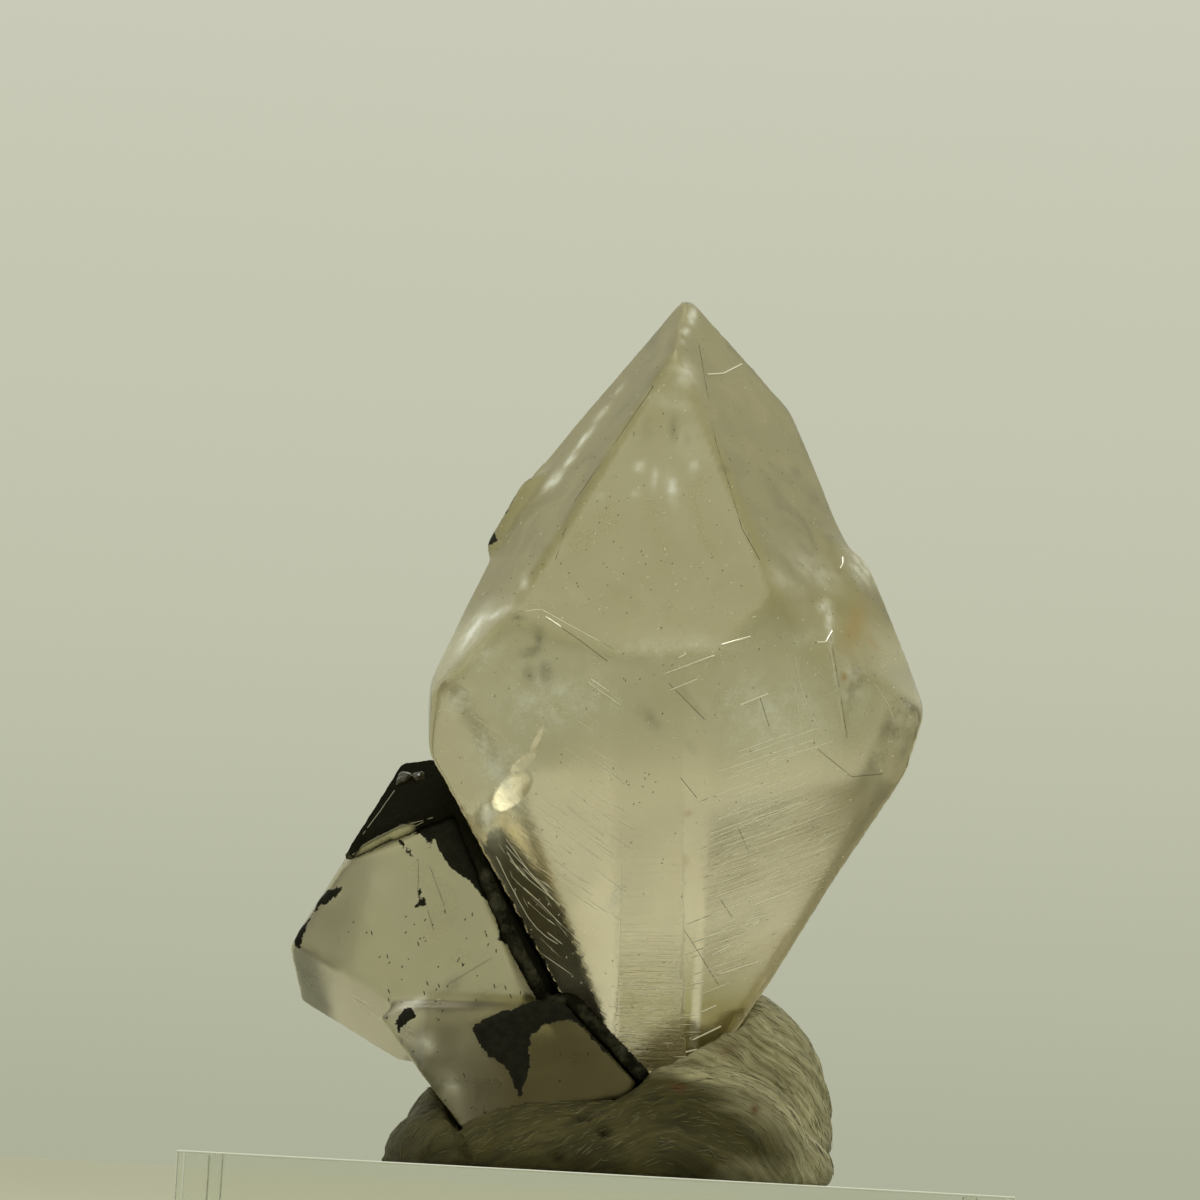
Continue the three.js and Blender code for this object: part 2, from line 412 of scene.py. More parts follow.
def sliver_tree():
    """Slivers strewn on a surface, thick where its crowd is high, laid along its lie direction."""
    tree, given = new_tree("strewn_slivers", [
        ("Density", "NodeSocketFloat"), ("Shortest", "NodeSocketFloat"), ("Longest", "NodeSocketFloat"),
        ("Width", "NodeSocketFloat"), ("Thickness", "NodeSocketFloat"), ("Stray", "NodeSocketFloat"),
        ("Seed", "NodeSocketInt"), ("Material", "NodeSocketMaterial")])
    crowd = add_node(tree, "GeometryNodeInputNamedAttribute", {"Name": "crowd"}, data_type="FLOAT")
    lie = add_node(tree, "GeometryNodeInputNamedAttribute", {"Name": "lie"}, data_type="FLOAT_VECTOR")
    many = reckoned(tree, "MULTIPLY", given["Density"], crowd.outputs["Attribute"])
    spots = add_node(tree, "GeometryNodeDistributePointsOnFaces", {
        "Mesh": given["Geometry"], "Density": many, "Seed": given["Seed"]})
    upright = add_node(tree, "FunctionNodeAlignRotationToVector", {
        "Vector": spots.outputs["Normal"]}, axis="Z")
    laid = add_node(tree, "FunctionNodeAlignRotationToVector", {
        "Rotation": upright.outputs["Rotation"], "Vector": lie.outputs["Attribute"]},
        axis="X", pivot_axis="Z")
    back = reckoned(tree, "MULTIPLY", given["Stray"], -1.0)
    stray = add_node(tree, "FunctionNodeRandomValue", {
        "Min": back, "Max": given["Stray"], "Seed": given["Seed"]}, data_type="FLOAT")
    swing = add_node(tree, "FunctionNodeAxisAngleToRotation", {
        "Axis": (0.0, 0.0, 1.0), "Angle": stray.outputs["Value"]})
    turned = add_node(tree, "FunctionNodeRotateRotation", {
        "Rotation": laid.outputs["Rotation"], "Rotate By": swing.outputs["Rotation"]}, rotation_space="LOCAL")
    length = add_node(tree, "FunctionNodeRandomValue", {
        "Min": given["Shortest"], "Max": given["Longest"], "Seed": given["Seed"]}, data_type="FLOAT")
    size = add_node(tree, "ShaderNodeCombineXYZ", {
        "X": length.outputs["Value"], "Y": given["Width"], "Z": given["Thickness"]})
    sliver = add_node(tree, "GeometryNodeMeshIcoSphere", {"Radius": 0.5, "Subdivisions": 1})
    strewn = add_node(tree, "GeometryNodeInstanceOnPoints", {
        "Points": spots.outputs["Points"], "Instance": sliver.outputs["Mesh"],
        "Rotation": turned.outputs["Rotation"], "Scale": size.outputs["Vector"]})
    close_tree(tree, strewn.outputs["Instances"], given["Material"])
    return tree


def line_tree():
    """Fine tapered threads along the edges of a wire mesh."""
    tree, given = new_tree("drawn_lines", [("Radius", "NodeSocketFloat"), ("Material", "NodeSocketMaterial")])
    path = add_node(tree, "GeometryNodeMeshToCurve", {"Mesh": given["Geometry"]})
    along = add_node(tree, "GeometryNodeSplineParameter").outputs["Factor"]
    # Full in the middle of a line, a tenth of that at its ends.
    middle = reckoned(tree, "SUBTRACT", along, 0.5)
    square = reckoned(tree, "MULTIPLY", middle, middle)
    taper = reckoned(tree, "MULTIPLY_ADD", square, -3.6, 1.0)
    thin = add_node(tree, "GeometryNodeSetCurveRadius", {"Curve": path.outputs["Curve"], "Radius": taper})
    ring = add_node(tree, "GeometryNodeCurvePrimitiveCircle", {"Resolution": 5, "Radius": given["Radius"]})
    thread = add_node(tree, "GeometryNodeCurveToMesh", {
        "Curve": thin.outputs["Curve"], "Profile Curve": ring.outputs["Curve"], "Fill Caps": True})
    close_tree(tree, thread.outputs["Mesh"], given["Material"])
    return tree


def grown(made, tree, values):
    """Runs a geometry node tree on an object with its named inputs, and keeps the plain mesh."""
    modifier = made.modifiers.new(tree.name, "NODES")
    modifier.node_group = tree
    for item in tree.interface.items_tree:
        if item.in_out == "INPUT" and item.name in values:
            modifier[item.identifier] = values[item.name]
    finished(made)


def patch_of(mesh, crowd, lie):
    """The part of a mesh where crowd is above nothing, with the directions to lay things in."""
    corners = np.empty(len(mesh.loops), np.int32)
    mesh.loops.foreach_get("vertex_index", corners)
    quads = corners.reshape(-1, 4)
    kept = quads[(crowd[quads] > 0.02).all(axis=1)]
    used, numbers = np.unique(kept, return_inverse=True)
    part = bpy.data.meshes.new("patch")
    part.from_pydata((points_of(mesh)[used] * MM).tolist(), [], numbers.reshape(-1, 4).tolist())
    store(part, "crowd", crowd[used])
    store(part, "lie", np.broadcast_to(lie, (len(crowd), 3))[used])
    return part


def on_surface(mesh, spots, sunk=0.0):
    """Where lines from the front, at x and z in millimetres, meet a mesh, sunk by a depth."""
    tree = BVHTree.FromPolygons([v.co for v in mesh.vertices], [p.vertices for p in mesh.polygons])
    met = []
    for x, z in spots:
        place, normal, _, _ = tree.ray_cast(Vector((x, -100, z)) * MM, Vector((0, 1, 0)))
        if place is None:
            raise ValueError(f"nothing lies behind x {x}, z {z}")
        met.append(place - normal * sunk)
    return met


# How many points a drawn line is laid with.
LINE_POINTS = 7


def wire_on(mesh, lines, sunk):
    """A wire mesh of front-view lines laid on a surface."""
    body = bmesh.new()
    steps = np.linspace(0, 1, LINE_POINTS)
    for line in lines:
        knots = np.linspace(0, 1, len(line))
        xs, zs = (np.interp(steps, knots, [p[i] for p in line]) for i in (0, 1))
        verts = [body.verts.new(place) for place in on_surface(mesh, zip(xs, zs), sunk)]
        for a, b in zip(verts, verts[1:]):
            body.edges.new((a, b))
    return mesh_from(body, "wire")


def strew(name, patch, material, slot, density, shortest, longest, width, thickness, stray, seed):
    """Strews slivers on a patch as one piece. Sizes are in millimetres, the stray in degrees."""
    made = new_object(name, patch)
    tree = bpy.data.node_groups.get("strewn_slivers") or sliver_tree()
    grown(made, tree, {
        "Density": density, "Shortest": shortest * MM, "Longest": longest * MM, "Width": width * MM,
        "Thickness": thickness * MM, "Stray": math.radians(stray), "Seed": seed, "Material": material})
    give(made, material, slot)


def draw_lines(name, wire, material, slot, radius):
    """Draws threads along a wire mesh as one piece, with a radius in millimetres."""
    made = new_object(name, wire)
    tree = bpy.data.node_groups.get("drawn_lines") or line_tree()
    grown(made, tree, {"Radius": radius * MM, "Material": material})
    give(made, material, slot)


# The calcite of both crystals

def ragged_coat(tree, place):
    """How black a crystal's coating is at a place, and the noise that bites into its edge."""
    # The edge wanders by about 0.3 mm in bites of about 0.5 mm.
    depth = kept_numbers(tree, "coat")["coat"]
    bites = noise_at(tree, place, 1800.0, 4.0, 0.65)
    edge = reckoned(tree, "MULTIPLY_ADD", bites, 0.7, -0.35)
    shifted = reckoned(tree, "ADD", depth, edge)
    return spread(tree, shifted, -0.03, 0.03), bites


def calcite(name, look, rind):
    """Calcite, clear to milky, with what its skin keeps: spots, stains, black coating, growth lines."""
    # Glassy but hazy, yellow where it is thick, with a ragged dull black where it is coated. Its white spots
    # are partly milk and partly painted highlights, and its olive darkening is partly smoke and partly
    # painted shade.
    material, tree, shader, output = new_material(name)
    place = own_place(tree)
    kept = kept_numbers(
        tree, "milky_and_highlight", "smudge", "rust", "bedded", "veil", "smoke_and_shade", "satin", "across", "along", "lines")
    black, bites = ragged_coat(tree, place)
    # Clouds of about 4 mm, and wisps of about 1 mm that break up the spots.
    cloud = noise_at(tree, place, 250.0, 6.0, 0.6, 1.0)
    wisp = noise_at(tree, place, 1000.0, 4.0, 0.6)
    broken = spread(tree, wisp, 0.3, 0.65, 0.25, 1.2)
    # White spots, partly milk and partly painted highlights, broken up by the wisps.
    milk_and_highlight = reckoned(tree, "MULTIPLY", kept["milky_and_highlight"], broken, clamp=True)
    smudge = reckoned(tree, "MULTIPLY", kept["smudge"], broken, clamp=True)
    cloudy = spread(tree, cloud, 0.3, 0.75, 0.5, 1.5)
    haze = reckoned(tree, "MULTIPLY_ADD", kept["veil"], cloudy, milk_and_highlight)
    hidden = reckoned(tree, "MAXIMUM", black, kept["bedded"])
    solid = reckoned(tree, "MAXIMUM", haze, hidden)
    clear = reckoned(tree, "SUBTRACT", 1.0, solid, clamp=True)
    soot = toned(tree, opaque(rind.colour), (bites, "#33322a"), (kept["bedded"], "#2c2810"))
    colour = toned(
        tree, "#e6e2cc", (kept["smoke_and_shade"], "#8a8352"), (milk_and_highlight, opaque(look.milk_and_highlight)), (smudge, "#55574a"),
        (kept["rust"], "#a8813c"), (kept["bedded"], "#5a5325"), (black, soot))
    shine = toned(tree, "#ffffff", (kept["smoke_and_shade"], "#ffe28c"), (black, "#000000"))
    uneven = reckoned(tree, "MULTIPLY_ADD", cloud, 0.2, -0.1)
    rough = reckoned(tree, "ADD", kept["satin"], uneven)
    dull = add_node(tree, "ShaderNodeMix", {"Factor": black, "A": rough, "B": 0.7}, data_type="FLOAT")
    # Growth lines about 0.2 mm apart, and an etched grain of about 0.3 mm.
    growth = noise_at(tree, drawn_out(tree, kept, (0.2, 4.0, 1.0)), 1.0, 4.0, 0.7)
    grain = noise_at(tree, place, 3000.0, 3.0)
    etched = add_node(tree, "ShaderNodeBump", {"Height": grain, "Strength": 0.05, "Distance": 0.1 * MM})
    bump = add_node(tree, "ShaderNodeBump", {
        "Height": growth, "Strength": kept["lines"], "Distance": 0.12 * MM,
        "Normal": etched.outputs["Normal"]})
    fill(tree, shader, {
        "Base Color": colour, "Specular Tint": shine, "Transmission Weight": clear,
        "Roughness": dull.outputs["Result"], "Normal": bump.outputs["Normal"], "IOR": 1.6})
    tint_depth(tree, output, look.tint, look.density)
    return material


def bruised_calcite(name, metallic):
    """Bruised calcite along a scratch or a crack."""
    # A bruise is crumbled and white. A crack throws all light back, so it shines like pale silver.
    material, tree, shader, _ = new_material(name)
    crumb = noise_at(tree, own_place(tree), 2500.0)
    colour = toned(tree, "#e6e0c4", (crumb, "#fffdf2"))
    fill(tree, shader, {"Base Color": colour, "Roughness": 0.3, "Metallic": metallic})
    return material


def dark_inclusion():
    """Specks and films of dark mineral in the calcite."""
    # Dull brown-black with no shine of its own.
    material, tree, shader, _ = new_material("dark_inclusion")
    shade = noise_at(tree, own_place(tree), 700.0)
    colour = toned(tree, "#17170f", (shade, "#4d4a34"))
    fill(tree, shader, {"Base Color": colour, "Roughness": 0.7})
    return material


# The large crystal

# Its faces on the front, as turn and lean in degrees.
UPPER_FACE = (-5.5, 19)
STRIP_FACE = (-3.5, -21)
RIGHT_FACE = (31, -18)
LEFT_FACE = (-17, -21)
CONTACT_FACE = (-115, -25.5)

# The black coating on its contact face, as a side-view outline (y, z) in millimetres.
CONTACT_COAT = [
    (-14.0, 30.0), (-5.0, 32.6), (-3.4, 33.8), (-1.4, 35.0), (0.5, 35.8), (3.4, 36.4), (6.4, 35.4),
    (7.8, 33.6), (8.2, 32.0), (7.8, 29.5), (7.2, 26.5), (6.6, 22.0), (6.4, 16.0), (-14.0, 16.0)]
# Where that coating is stained olive, nearer to the front.
CONTACT_STAIN = [
    (-14.0, 33.0), (-3.8, 32.2), (-0.3, 31.6), (1.8, 30.8), (3.3, 29.8), (2.7, 27.4), (4.0, 24.7),
    (4.6, 16.0), (-14.0, 16.0)]

# The black film on the outer edge of its rib, as a front-view outline (x, z).
RIB_COAT = [
    (-6.6, 58.9), (-7.25, 58.2), (-9.0, 54.9), (-8.8, 54.2), (-9.5, 53.8), (-10.5, 54.0), (-8.0, 59.5)]

# Where later growth has filled its inner corners: x, z, length, width, slope in degrees, strength.
GROWN_OVER = [(13.7, 47.5, 22.0, 5.0, 90, 0.8), (-6.4, 56.0, 7.0, 2.4, 62, 0.8)]

# The right side of the strip face, as heights and the x there.
STRIP_SIDE = ([20.0, 40.0], [5.45, 4.1])

# Painted shade on the left face, over the band where the dark coating shows through, in the terms of the
# grown-over places.
BAND_SHADE = [(-4.9, 30.0, 13.0, 5.0, -52, 0.75)]

# Where the flank growth is hazy, in the terms of the grown-over places.
HAZY_FLANK = [(15.0, 46.5, 16.0, 5.5, 95, 1.0)]

# Milky and bruised spots on the front, with painted highlights among them (the white patches on the left
# girdle and the glows below them): x, z, length, width, slope in degrees, strength.
MILK_AND_HIGHLIGHT_SPOTS = [
    (-4.5, 42.8, 9.0, 5.0, 10, 0.5),
    (9.5, 42.6, 8.0, 5.5, 0, 0.5),
    (-7.6, 39.3, 5.0, 4.0, -40, 0.45),
    (-7.8, 38.4, 9.0, 1.8, -62, 0.6),
    (3.0, 46.2, 9.0, 1.6, 5, 0.35),
    (8.6, 36.5, 6.0, 3.0, 20, 0.3),
    (-9.9, 47.2, 3.4, 0.9, 62, 1.0),
    (-8.6, 48.1, 2.2, 0.6, 15, 0.9),
    (-8.8, 45.2, 2.6, 1.8, 40, 0.45),
    (-10.3, 42.5, 2.0, 1.6, 50, 0.6),
    (-8.0, 35.2, 1.6, 3.2, 15, 0.7),
    (14.8, 45.0, 4.4, 2.2, -75, 0.45),
    (18.6, 43.8, 3.0, 2.5, 60, 0.4),
    (17.6, 41.3, 4.0, 2.5, 75, 0.2),
    (-6.6, 37.3, 1.6, 3.0, -15, 0.2),
    (-5.8, 40.0, 0.9, 3.0, -12, 0.3),
    (-4.6, 41.2, 0.8, 3.0, -10, 0.25),
    (0.3, 30.3, 0.7, 2.0, -20, 0.5),
    (3.0, 65.0, 1.5, 2.2, 0, 0.4),
    (2.2, 63.0, 3.0, 1.4, -20, 0.3),
    (0.4, 58.4, 0.6, 0.8, 0, 0.7),
    (1.4, 57.6, 0.5, 1.6, 0, 0.5),
    (2.5, 57.2, 0.6, 2.2, 12, 0.7),
    (3.9, 58.6, 0.6, 1.0, 0, 0.5),
    (3.7, 60.4, 2.0, 3.0, 0, 0.2),
    (0.2, 56.6, 0.5, 0.5, 0, 0.5),
    (-2.0, 56.2, 0.6, 0.4, 0, 0.4),
    (-3.5, 60.9, 0.5, 2.4, -35, 0.8),
    (-4.2, 59.6, 0.5, 1.2, -35, 0.8),
    (-5.2, 58.2, 0.8, 1.6, -35, 0.8),
    (-2.4, 62.8, 0.5, 1.6, -35, 0.5),
    (-1.2, 64.6, 0.4, 1.0, -35, 0.4),
    (-6.6, 50.2, 0.6, 1.2, 0, 0.5),
    (13.2, 49.0, 0.6, 3.0, 5, 0.7),
    (12.8, 50.0, 0.9, 1.0, 0, 0.6),
    (11.8, 47.6, 3.5, 1.2, 15, 0.25),
    (12.2, 52.5, 4.0, 2.0, -30, 0.3),
    (10.0, 51.2, 3.0, 1.6, -20, 0.2),
    (15.6, 53.6, 3.0, 2.4, -50, 0.6),
    (3.4, 69.8, 0.5, 1.4, -10, 0.9),
    (3.0, 68.4, 0.5, 0.7, 0, 0.8),
    (2.8, 67.4, 0.4, 0.4, 0, 0.6),
    (4.7, 25.8, 0.5, 4.0, 10, 0.3),
    (7.6, 45.4, 4.0, 1.6, 20, 0.15),
]

# Dark smudges in the crystal, in the same terms.
SMUDGES = [
    (-5.47, 46.7, 0.6, 1.6, 10, 0.8),
    (-5.94, 45.7, 1.3, 0.7, 20, 0.9),
    (-4.9, 44.4, 0.8, 1.2, 10, 0.9),
    (-6.0, 44.2, 0.8, 1.2, 0, 0.8),
    (2.46, 61.2, 0.6, 1.9, 0, 0.5),
    (0.75, 60.8, 0.6, 1.7, 0, 0.3),
    (3.4, 60.4, 0.5, 0.9, 0, 0.3),
    (5.8, 58.5, 0.8, 0.5, -20, 0.5),
    (10.85, 59.8, 0.6, 0.8, 0, 0.4),
    (12.1, 58.0, 0.8, 0.8, 0, 0.35),
    (1.9, 41.8, 1.8, 0.8, -40, 0.6),
    (9.8, 29.8, 0.9, 1.1, 0, 0.45),
    (-6.9, 47.8, 0.9, 0.4, 0, 0.8),
    (4.4, 43.0, 2.6, 0.35, -48, 0.45),
    (4.6, 40.2, 1.2, 0.3, -50, 0.4),
]

# Rust stains, in the same terms.
RUST_SPOTS = [
    (14.9, 49.0, 1.4, 3.6, -20, 0.55),
    (16.2, 48.0, 1.4, 0.6, -40, 0.4),
    (14.3, 45.5, 0.4, 0.4, 0, 1.0),
    (4.7, 36.0, 0.5, 0.4, 0, 0.7),
    (4.8, 33.0, 0.5, 0.7, 0, 0.4),
    (8.4, 21.8, 1.6, 0.8, 20, 0.6),
]

# Bright scratches and step edges on the front, as front-view lines in millimetres.
SCRATCHES = [
    [(4.5, 65.4), (5.6, 65.85), (6.9, 67.1)],
    [(-2.2, 43.9), (0.0, 42.5)],
    [(-2.0, 44.1), (-0.8, 43.35)],
    [(2.7, 44.6), (5.8, 45.9)],
    [(3.1, 43.6), (4.85, 44.4)],
    [(3.5, 45.6), (4.0, 45.9)],
    [(6.2, 46.6), (8.0, 47.3)],
    [(7.6, 43.0), (9.4, 43.9)],
    [(-5.1, 47.9), (-4.1, 47.3)],
    [(-1.2, 38.9), (0.3, 37.9)],
    [(13.4, 48.4), (13.0, 47.6), (12.4, 47.5)],
    [(14.1, 53.9), (14.1, 53.4), (13.9, 53.0)],
    [(9.4, 30.6), (11.8, 31.7)],
    [(7.3, 26.0), (9.9, 27.0)],
    [(5.4, 27.9), (7.6, 28.8)],
    [(-3.1, 36.2), (-0.6, 34.4)],
    [(5.9, 21.7), (7.7, 22.7)],
    [(5.5, 20.9), (6.2, 21.1)],
    [(5.5, 20.3), (6.4, 20.6)],
    [(6.3, 23.5), (7.3, 24.0)],
    [(5.5, 25.2), (6.4, 25.5)],
    [(8.9, 29.0), (9.8, 29.6)],
    [(6.8, 27.2), (8.0, 27.9)],
]

# Hair-fine bright lines over the dark band, the girdle and the flank, in the same terms.
HAIRLINES = [
    [(-7.5, 32.8), (-6.3, 30.7), (-5.2, 29.0), (-4.3, 28.0), (-3.2, 27.4)],
    [(-6.6, 32.6), (-5.3, 31.4), (-3.2, 29.9)],
    [(-6.9, 33.5), (-5.9, 32.5), (-4.0, 30.7)],
    [(-6.9, 33.9), (-5.2, 31.8), (-3.7, 30.2)],
    [(-5.6, 30.9), (-4.5, 30.0), (-3.0, 28.6)],
    [(-3.9, 28.1), (-2.9, 27.4)],
    [(-6.8, 33.1), (-6.2, 32.3), (-5.6, 31.6)],
    [(-5.7, 32.1), (-4.2, 30.8), (-3.2, 29.8)],
    [(-8.1, 47.9), (-6.8, 48.2), (-5.4, 48.4), (-2.9, 47.1), (-0.2, 45.8)],
    [(15.3, 45.7), (16.5, 45.1), (17.4, 44.1), (17.9, 43.1)],
    [(11.0, 46.4), (11.5, 44.6), (12.3, 43.0), (13.2, 41.5)],
    [(4.4, 35.6), (4.8, 29.6), (5.2, 23.6)],
    [(0.6, 34.5), (0.8, 29.0), (0.9, 23.5)],
    [(13.1, 48.1), (13.8, 45.1), (14.6, 41.8)],
    [(11.1, 44.8), (11.9, 41.0), (12.9, 40.4)],
]

# Dark hairline cracks, in the same terms.
CRACKS = [
    [(4.9, 28.7), (7.4, 25.3)],
    [(7.1, 30.8), (8.0, 29.7)],
    [(-4.0, 47.2), (-2.9, 46.5), (-1.0, 45.2)],
    [(3.0, 44.0), (5.4, 41.9)],
    [(8.9, 43.6), (9.6, 41.9)],
    [(8.0, 35.4), (8.8, 33.9)],
    [(4.1, 38.2), (5.2, 37.0)],
    [(1.0, 64.0), (-1.3, 60.0), (-3.7, 55.9), (-4.7, 51.8)],
    [(3.9, 67.6), (5.2, 60.5), (7.2, 54.4), (8.4, 52.4)],
    [(12.9, 40.8), (15.3, 39.3), (17.4, 39.7)],
    [(13.3, 48.0), (14.0, 45.0), (14.8, 41.7)],
]

# Cleavage cracks in its depth that mirror the top light, seen through the upper left face: x, y, z,
# length and width in millimetres, and the slope of the length from upright in degrees.
FLAWS = [
    (-6.4, -4.6, 37.5, 3.9, 2.3, 25), (-5.7, -5.4, 39.4, 2.6, 1.2, 35), (-4.9, -6.5, 40.9, 2.6, 0.6, 12),
    (-8.2, -4.5, 35.9, 2.0, 0.9, -10)]
# The way they face, as turn and lean in degrees, and where the skin over them is etched.
FLAW_FACE = (-24, 29)
GLOWING = [(-6.4, 38.0, 5.0, 3.5, 60, 1.0)]

# Rows of fine bright lines and bruises: name, face, slope and stray in degrees, where they crowd,
# count for a square metre, shortest and longest and width in millimetres, seed.
GROWTH_ROWS = [
    ("growth_lines_right", RIGHT_FACE, 24, 3,
     [(9.2, 36.0, 11.0, 8.0, 20, 1.0), (8.6, 28.5, 8.0, 8.0, 20, 0.6), (13.0, 38.0, 6.0, 6.0, 20, 0.5)],
     0.4e6, 0.8, 4.0, 0.04, 3),
    ("growth_lines_left", LEFT_FACE, -32, 3, [(-1.6, 34.0, 6.0, 10.0, 0, 1.0)], 0.9e6, 0.5, 3.5, 0.05, 4),
    ("growth_lines_strip", STRIP_FACE, 3, 3, [(3.0, 22.5, 6.0, 7.0, 0, 1.0)], 2.0e6, 0.4, 2.2, 0.05, 5),
    ("hairlines_band", LEFT_FACE, -54, 14, [(-4.7, 30.5, 9.0, 1.9, -52, 1.0)], 3.0e6, 0.5, 2.4, 0.02, 9),
]

# Long growth lines on the right face: the heights they start at as first, last and step, the x they
# start at, where the face ends at one height and how fast that end moves out above it, all in
# millimetres, and their slope in degrees.
RULED_HEIGHTS = (24.0, 39.0, 0.38)
RULED_X = 4.9
RULED_END_X, RULED_END_HEIGHT, RULED_END_LEAN = 11.3, 31, 0.5
RULED_SLOPE = 24

# The height of the girdle, where the crystal is widest, and of its tip, in millimetres.
GIRDLE_HEIGHT = 45
TIP_HEIGHT = 70
# Where the hazy upper part and the hazier tip begin, how high the darker foot reaches, and how high
# the strip face is deeply lined, in millimetres.
UPPER_START, HAZY_TIP_START = 46, 58
DARKER_FOOT, LINED_FOOT = 30, 31

# The way growth lines run on the left, strip and right faces, in degrees.
LINE_SLOPES = (-32, 3, 24)


class SPECIMEN_OT_large_crystal(bpy.types.Operator):
    """Make the large clear crystal."""

    bl_idname = "specimen.large_crystal"
    bl_label = "Large crystal"

    def execute(self, context):
        look = context.scene.specimen_calcite
        made = skinned("large_crystal", merged_copy("main_crystal"), look.skin)
        mesh = made.data
        points = self.worn(mesh, look)
        normals = normals_of(mesh)
        wave = unevenness(points, 7.0, 1) + 0.4 * unevenness(points, 2.5, 2)
        points = points + normals * (wave * look.waviness / MM)[:, None]
        set_points(mesh, points)
        self.mark(mesh, points, normals)
        mesh.shade_smooth()
        material = calcite("calcite_growth_faces", look, context.scene.specimen_rind)
        give(made, material, "clear_calcite", "main_crystal")
        return {"FINISHED"}

    def worn(self, mesh, look):
        """Wears the crystal: soft edges above the girdle, filled inner corners, a round tip."""
        points = smoothed(mesh, points_of(mesh), look.wear)
        soft = smoothed(mesh, points, 14)
        filled = smoothed(mesh, soft, 300)
        height = points[:, 2]
        share = np.clip((height - GIRDLE_HEIGHT) / 5 + 1, 0, 1) * np.clip((TIP_HEIGHT - height) / 4, 0.7, 1)
        # The step beside the flank growth and the foot of the rib are nearly grown over.
        healed = np.where(points[:, 1] < 4, soft_spots(points, GROWN_OVER), 0.0)
        # The girdle is blunt at the back.
        blunt = np.clip((points[:, 1] - 4) / 3, 0, 1) * np.exp(-((height - GIRDLE_HEIGHT) / 6) ** 2)
        blunt *= np.clip((points[:, 0] + 2) / 3, 0, 1)
        healed = np.maximum(np.minimum(1.5 * healed, 1), blunt)[:, None]
        points = points + share[:, None] * (soft - points)
        points = points + healed * (filled - points)
        set_points(mesh, points)
        normals = normals_of(mesh)
        # Hollows fill, but not the slight grain of the skin.
        gain = ((filled - points) * normals).sum(axis=1, keepdims=True)
        gain = np.clip(smoothed(mesh, gain, 10), 0, None)
        # The small swell makes up for what wear took off the outline.
        points = points + normals * (gain ** 2 / (gain + 0.1) + 0.12)
        set_points(mesh, points)
        return points

    def mark(self, mesh, points, normals):
        """Keeps where the crystal has milk and painted highlights, smudges, stains, coating, haze, smoke and
        painted shade, and lines.
        """
        front = np.clip((-normals[:, 1] - 0.05) * 6, 0, 1)
        # The white spots hold painted highlights as well as milk.
        for name, spots in (("milky_and_highlight", MILK_AND_HIGHLIGHT_SPOTS), ("smudge", SMUDGES), ("rust", RUST_SPOTS)):
            store(mesh, name, front * soft_spots(points, spots))
        contact = on_face(normals, *CONTACT_FACE, 50) > 0
        coat = np.where(contact, depth_inside(points[:, [1, 2]], CONTACT_COAT), -1.0)
        film = np.where(normals[:, 0] < -0.3, depth_inside(points[:, [0, 2]], RIB_COAT), -1.0)
        store(mesh, "coat", np.maximum(coat, film))
        # The olive stain has the look of a foot that is bedded in putty.
        stain = depth_inside(points[:, [1, 2]], CONTACT_STAIN)
        store(mesh, "bedded", np.where(contact & (coat > 0), np.clip(stain / 0.5, 0, 1), 0.0))
        x, _, z = points.T
        left, strip, right = (on_face(normals, *face, 10) for face in (LEFT_FACE, STRIP_FACE, RIGHT_FACE))
        beside = x > np.interp(z, *STRIP_SIDE)
        right = np.maximum(right, strip * beside)
        strip = strip * ~beside
        upper = np.clip((z - UPPER_START) / 4, 0, 1) * front
        tip = np.clip((z - HAZY_TIP_START) / 8, 0, 1) * front
        sides = upper * (1 - on_face(normals, *UPPER_FACE, 14))
        flank = front * soft_spots(points, HAZY_FLANK)
        hazy = np.maximum(np.maximum(tip, sides), flank)
        foot = np.clip((DARKER_FOOT - z) / 6, 0, 1) * front
        veil = 0.05 + 0.12 * strip + 0.05 * right + 0.25 * np.maximum(upper, flank) + 0.2 * hazy
        store(mesh, "veil", veil)
        # Olive darkening: darker over the upper part, the tip and the flank, and at the foot, and painted
        # shade over the band where the dark coating shows through.
        smoke_and_shade = 0.08 + 0.1 * strip + 0.34 * upper + 0.38 * hazy + 0.15 * flank
        smoke_and_shade = np.maximum(smoke_and_shade, foot * (0.75 * strip + right))
        band = on_face(normals, *LEFT_FACE, 14) * soft_spots(points, BAND_SHADE)
        store(mesh, "smoke_and_shade", np.maximum(smoke_and_shade, band))
        glowing = soft_spots(points, GLOWING)
        satin = 0.12 - 0.08 * left + 0.02 * right + 0.12 * upper + 0.1 * hazy + 0.17 * glowing
        store(mesh, "satin", 0.06 + front * satin)
        across, along = z.copy(), x.copy()
        for share, slope in zip((left, strip, right), LINE_SLOPES):
            turn = math.radians(slope)
            run = x * math.cos(turn) + z * math.sin(turn)
            rise = z * math.cos(turn) - x * math.sin(turn)
            across, along = np.where(share > 0, rise, across), np.where(share > 0, run, along)
        store(mesh, "across", across)
        store(mesh, "along", along)
        worked = np.clip((LINED_FOOT - z) / 5, 0, 1)
        store(mesh, "lines", 0.04 + 0.1 * left + (0.15 + 0.4 * worked) * strip + 0.09 * right)


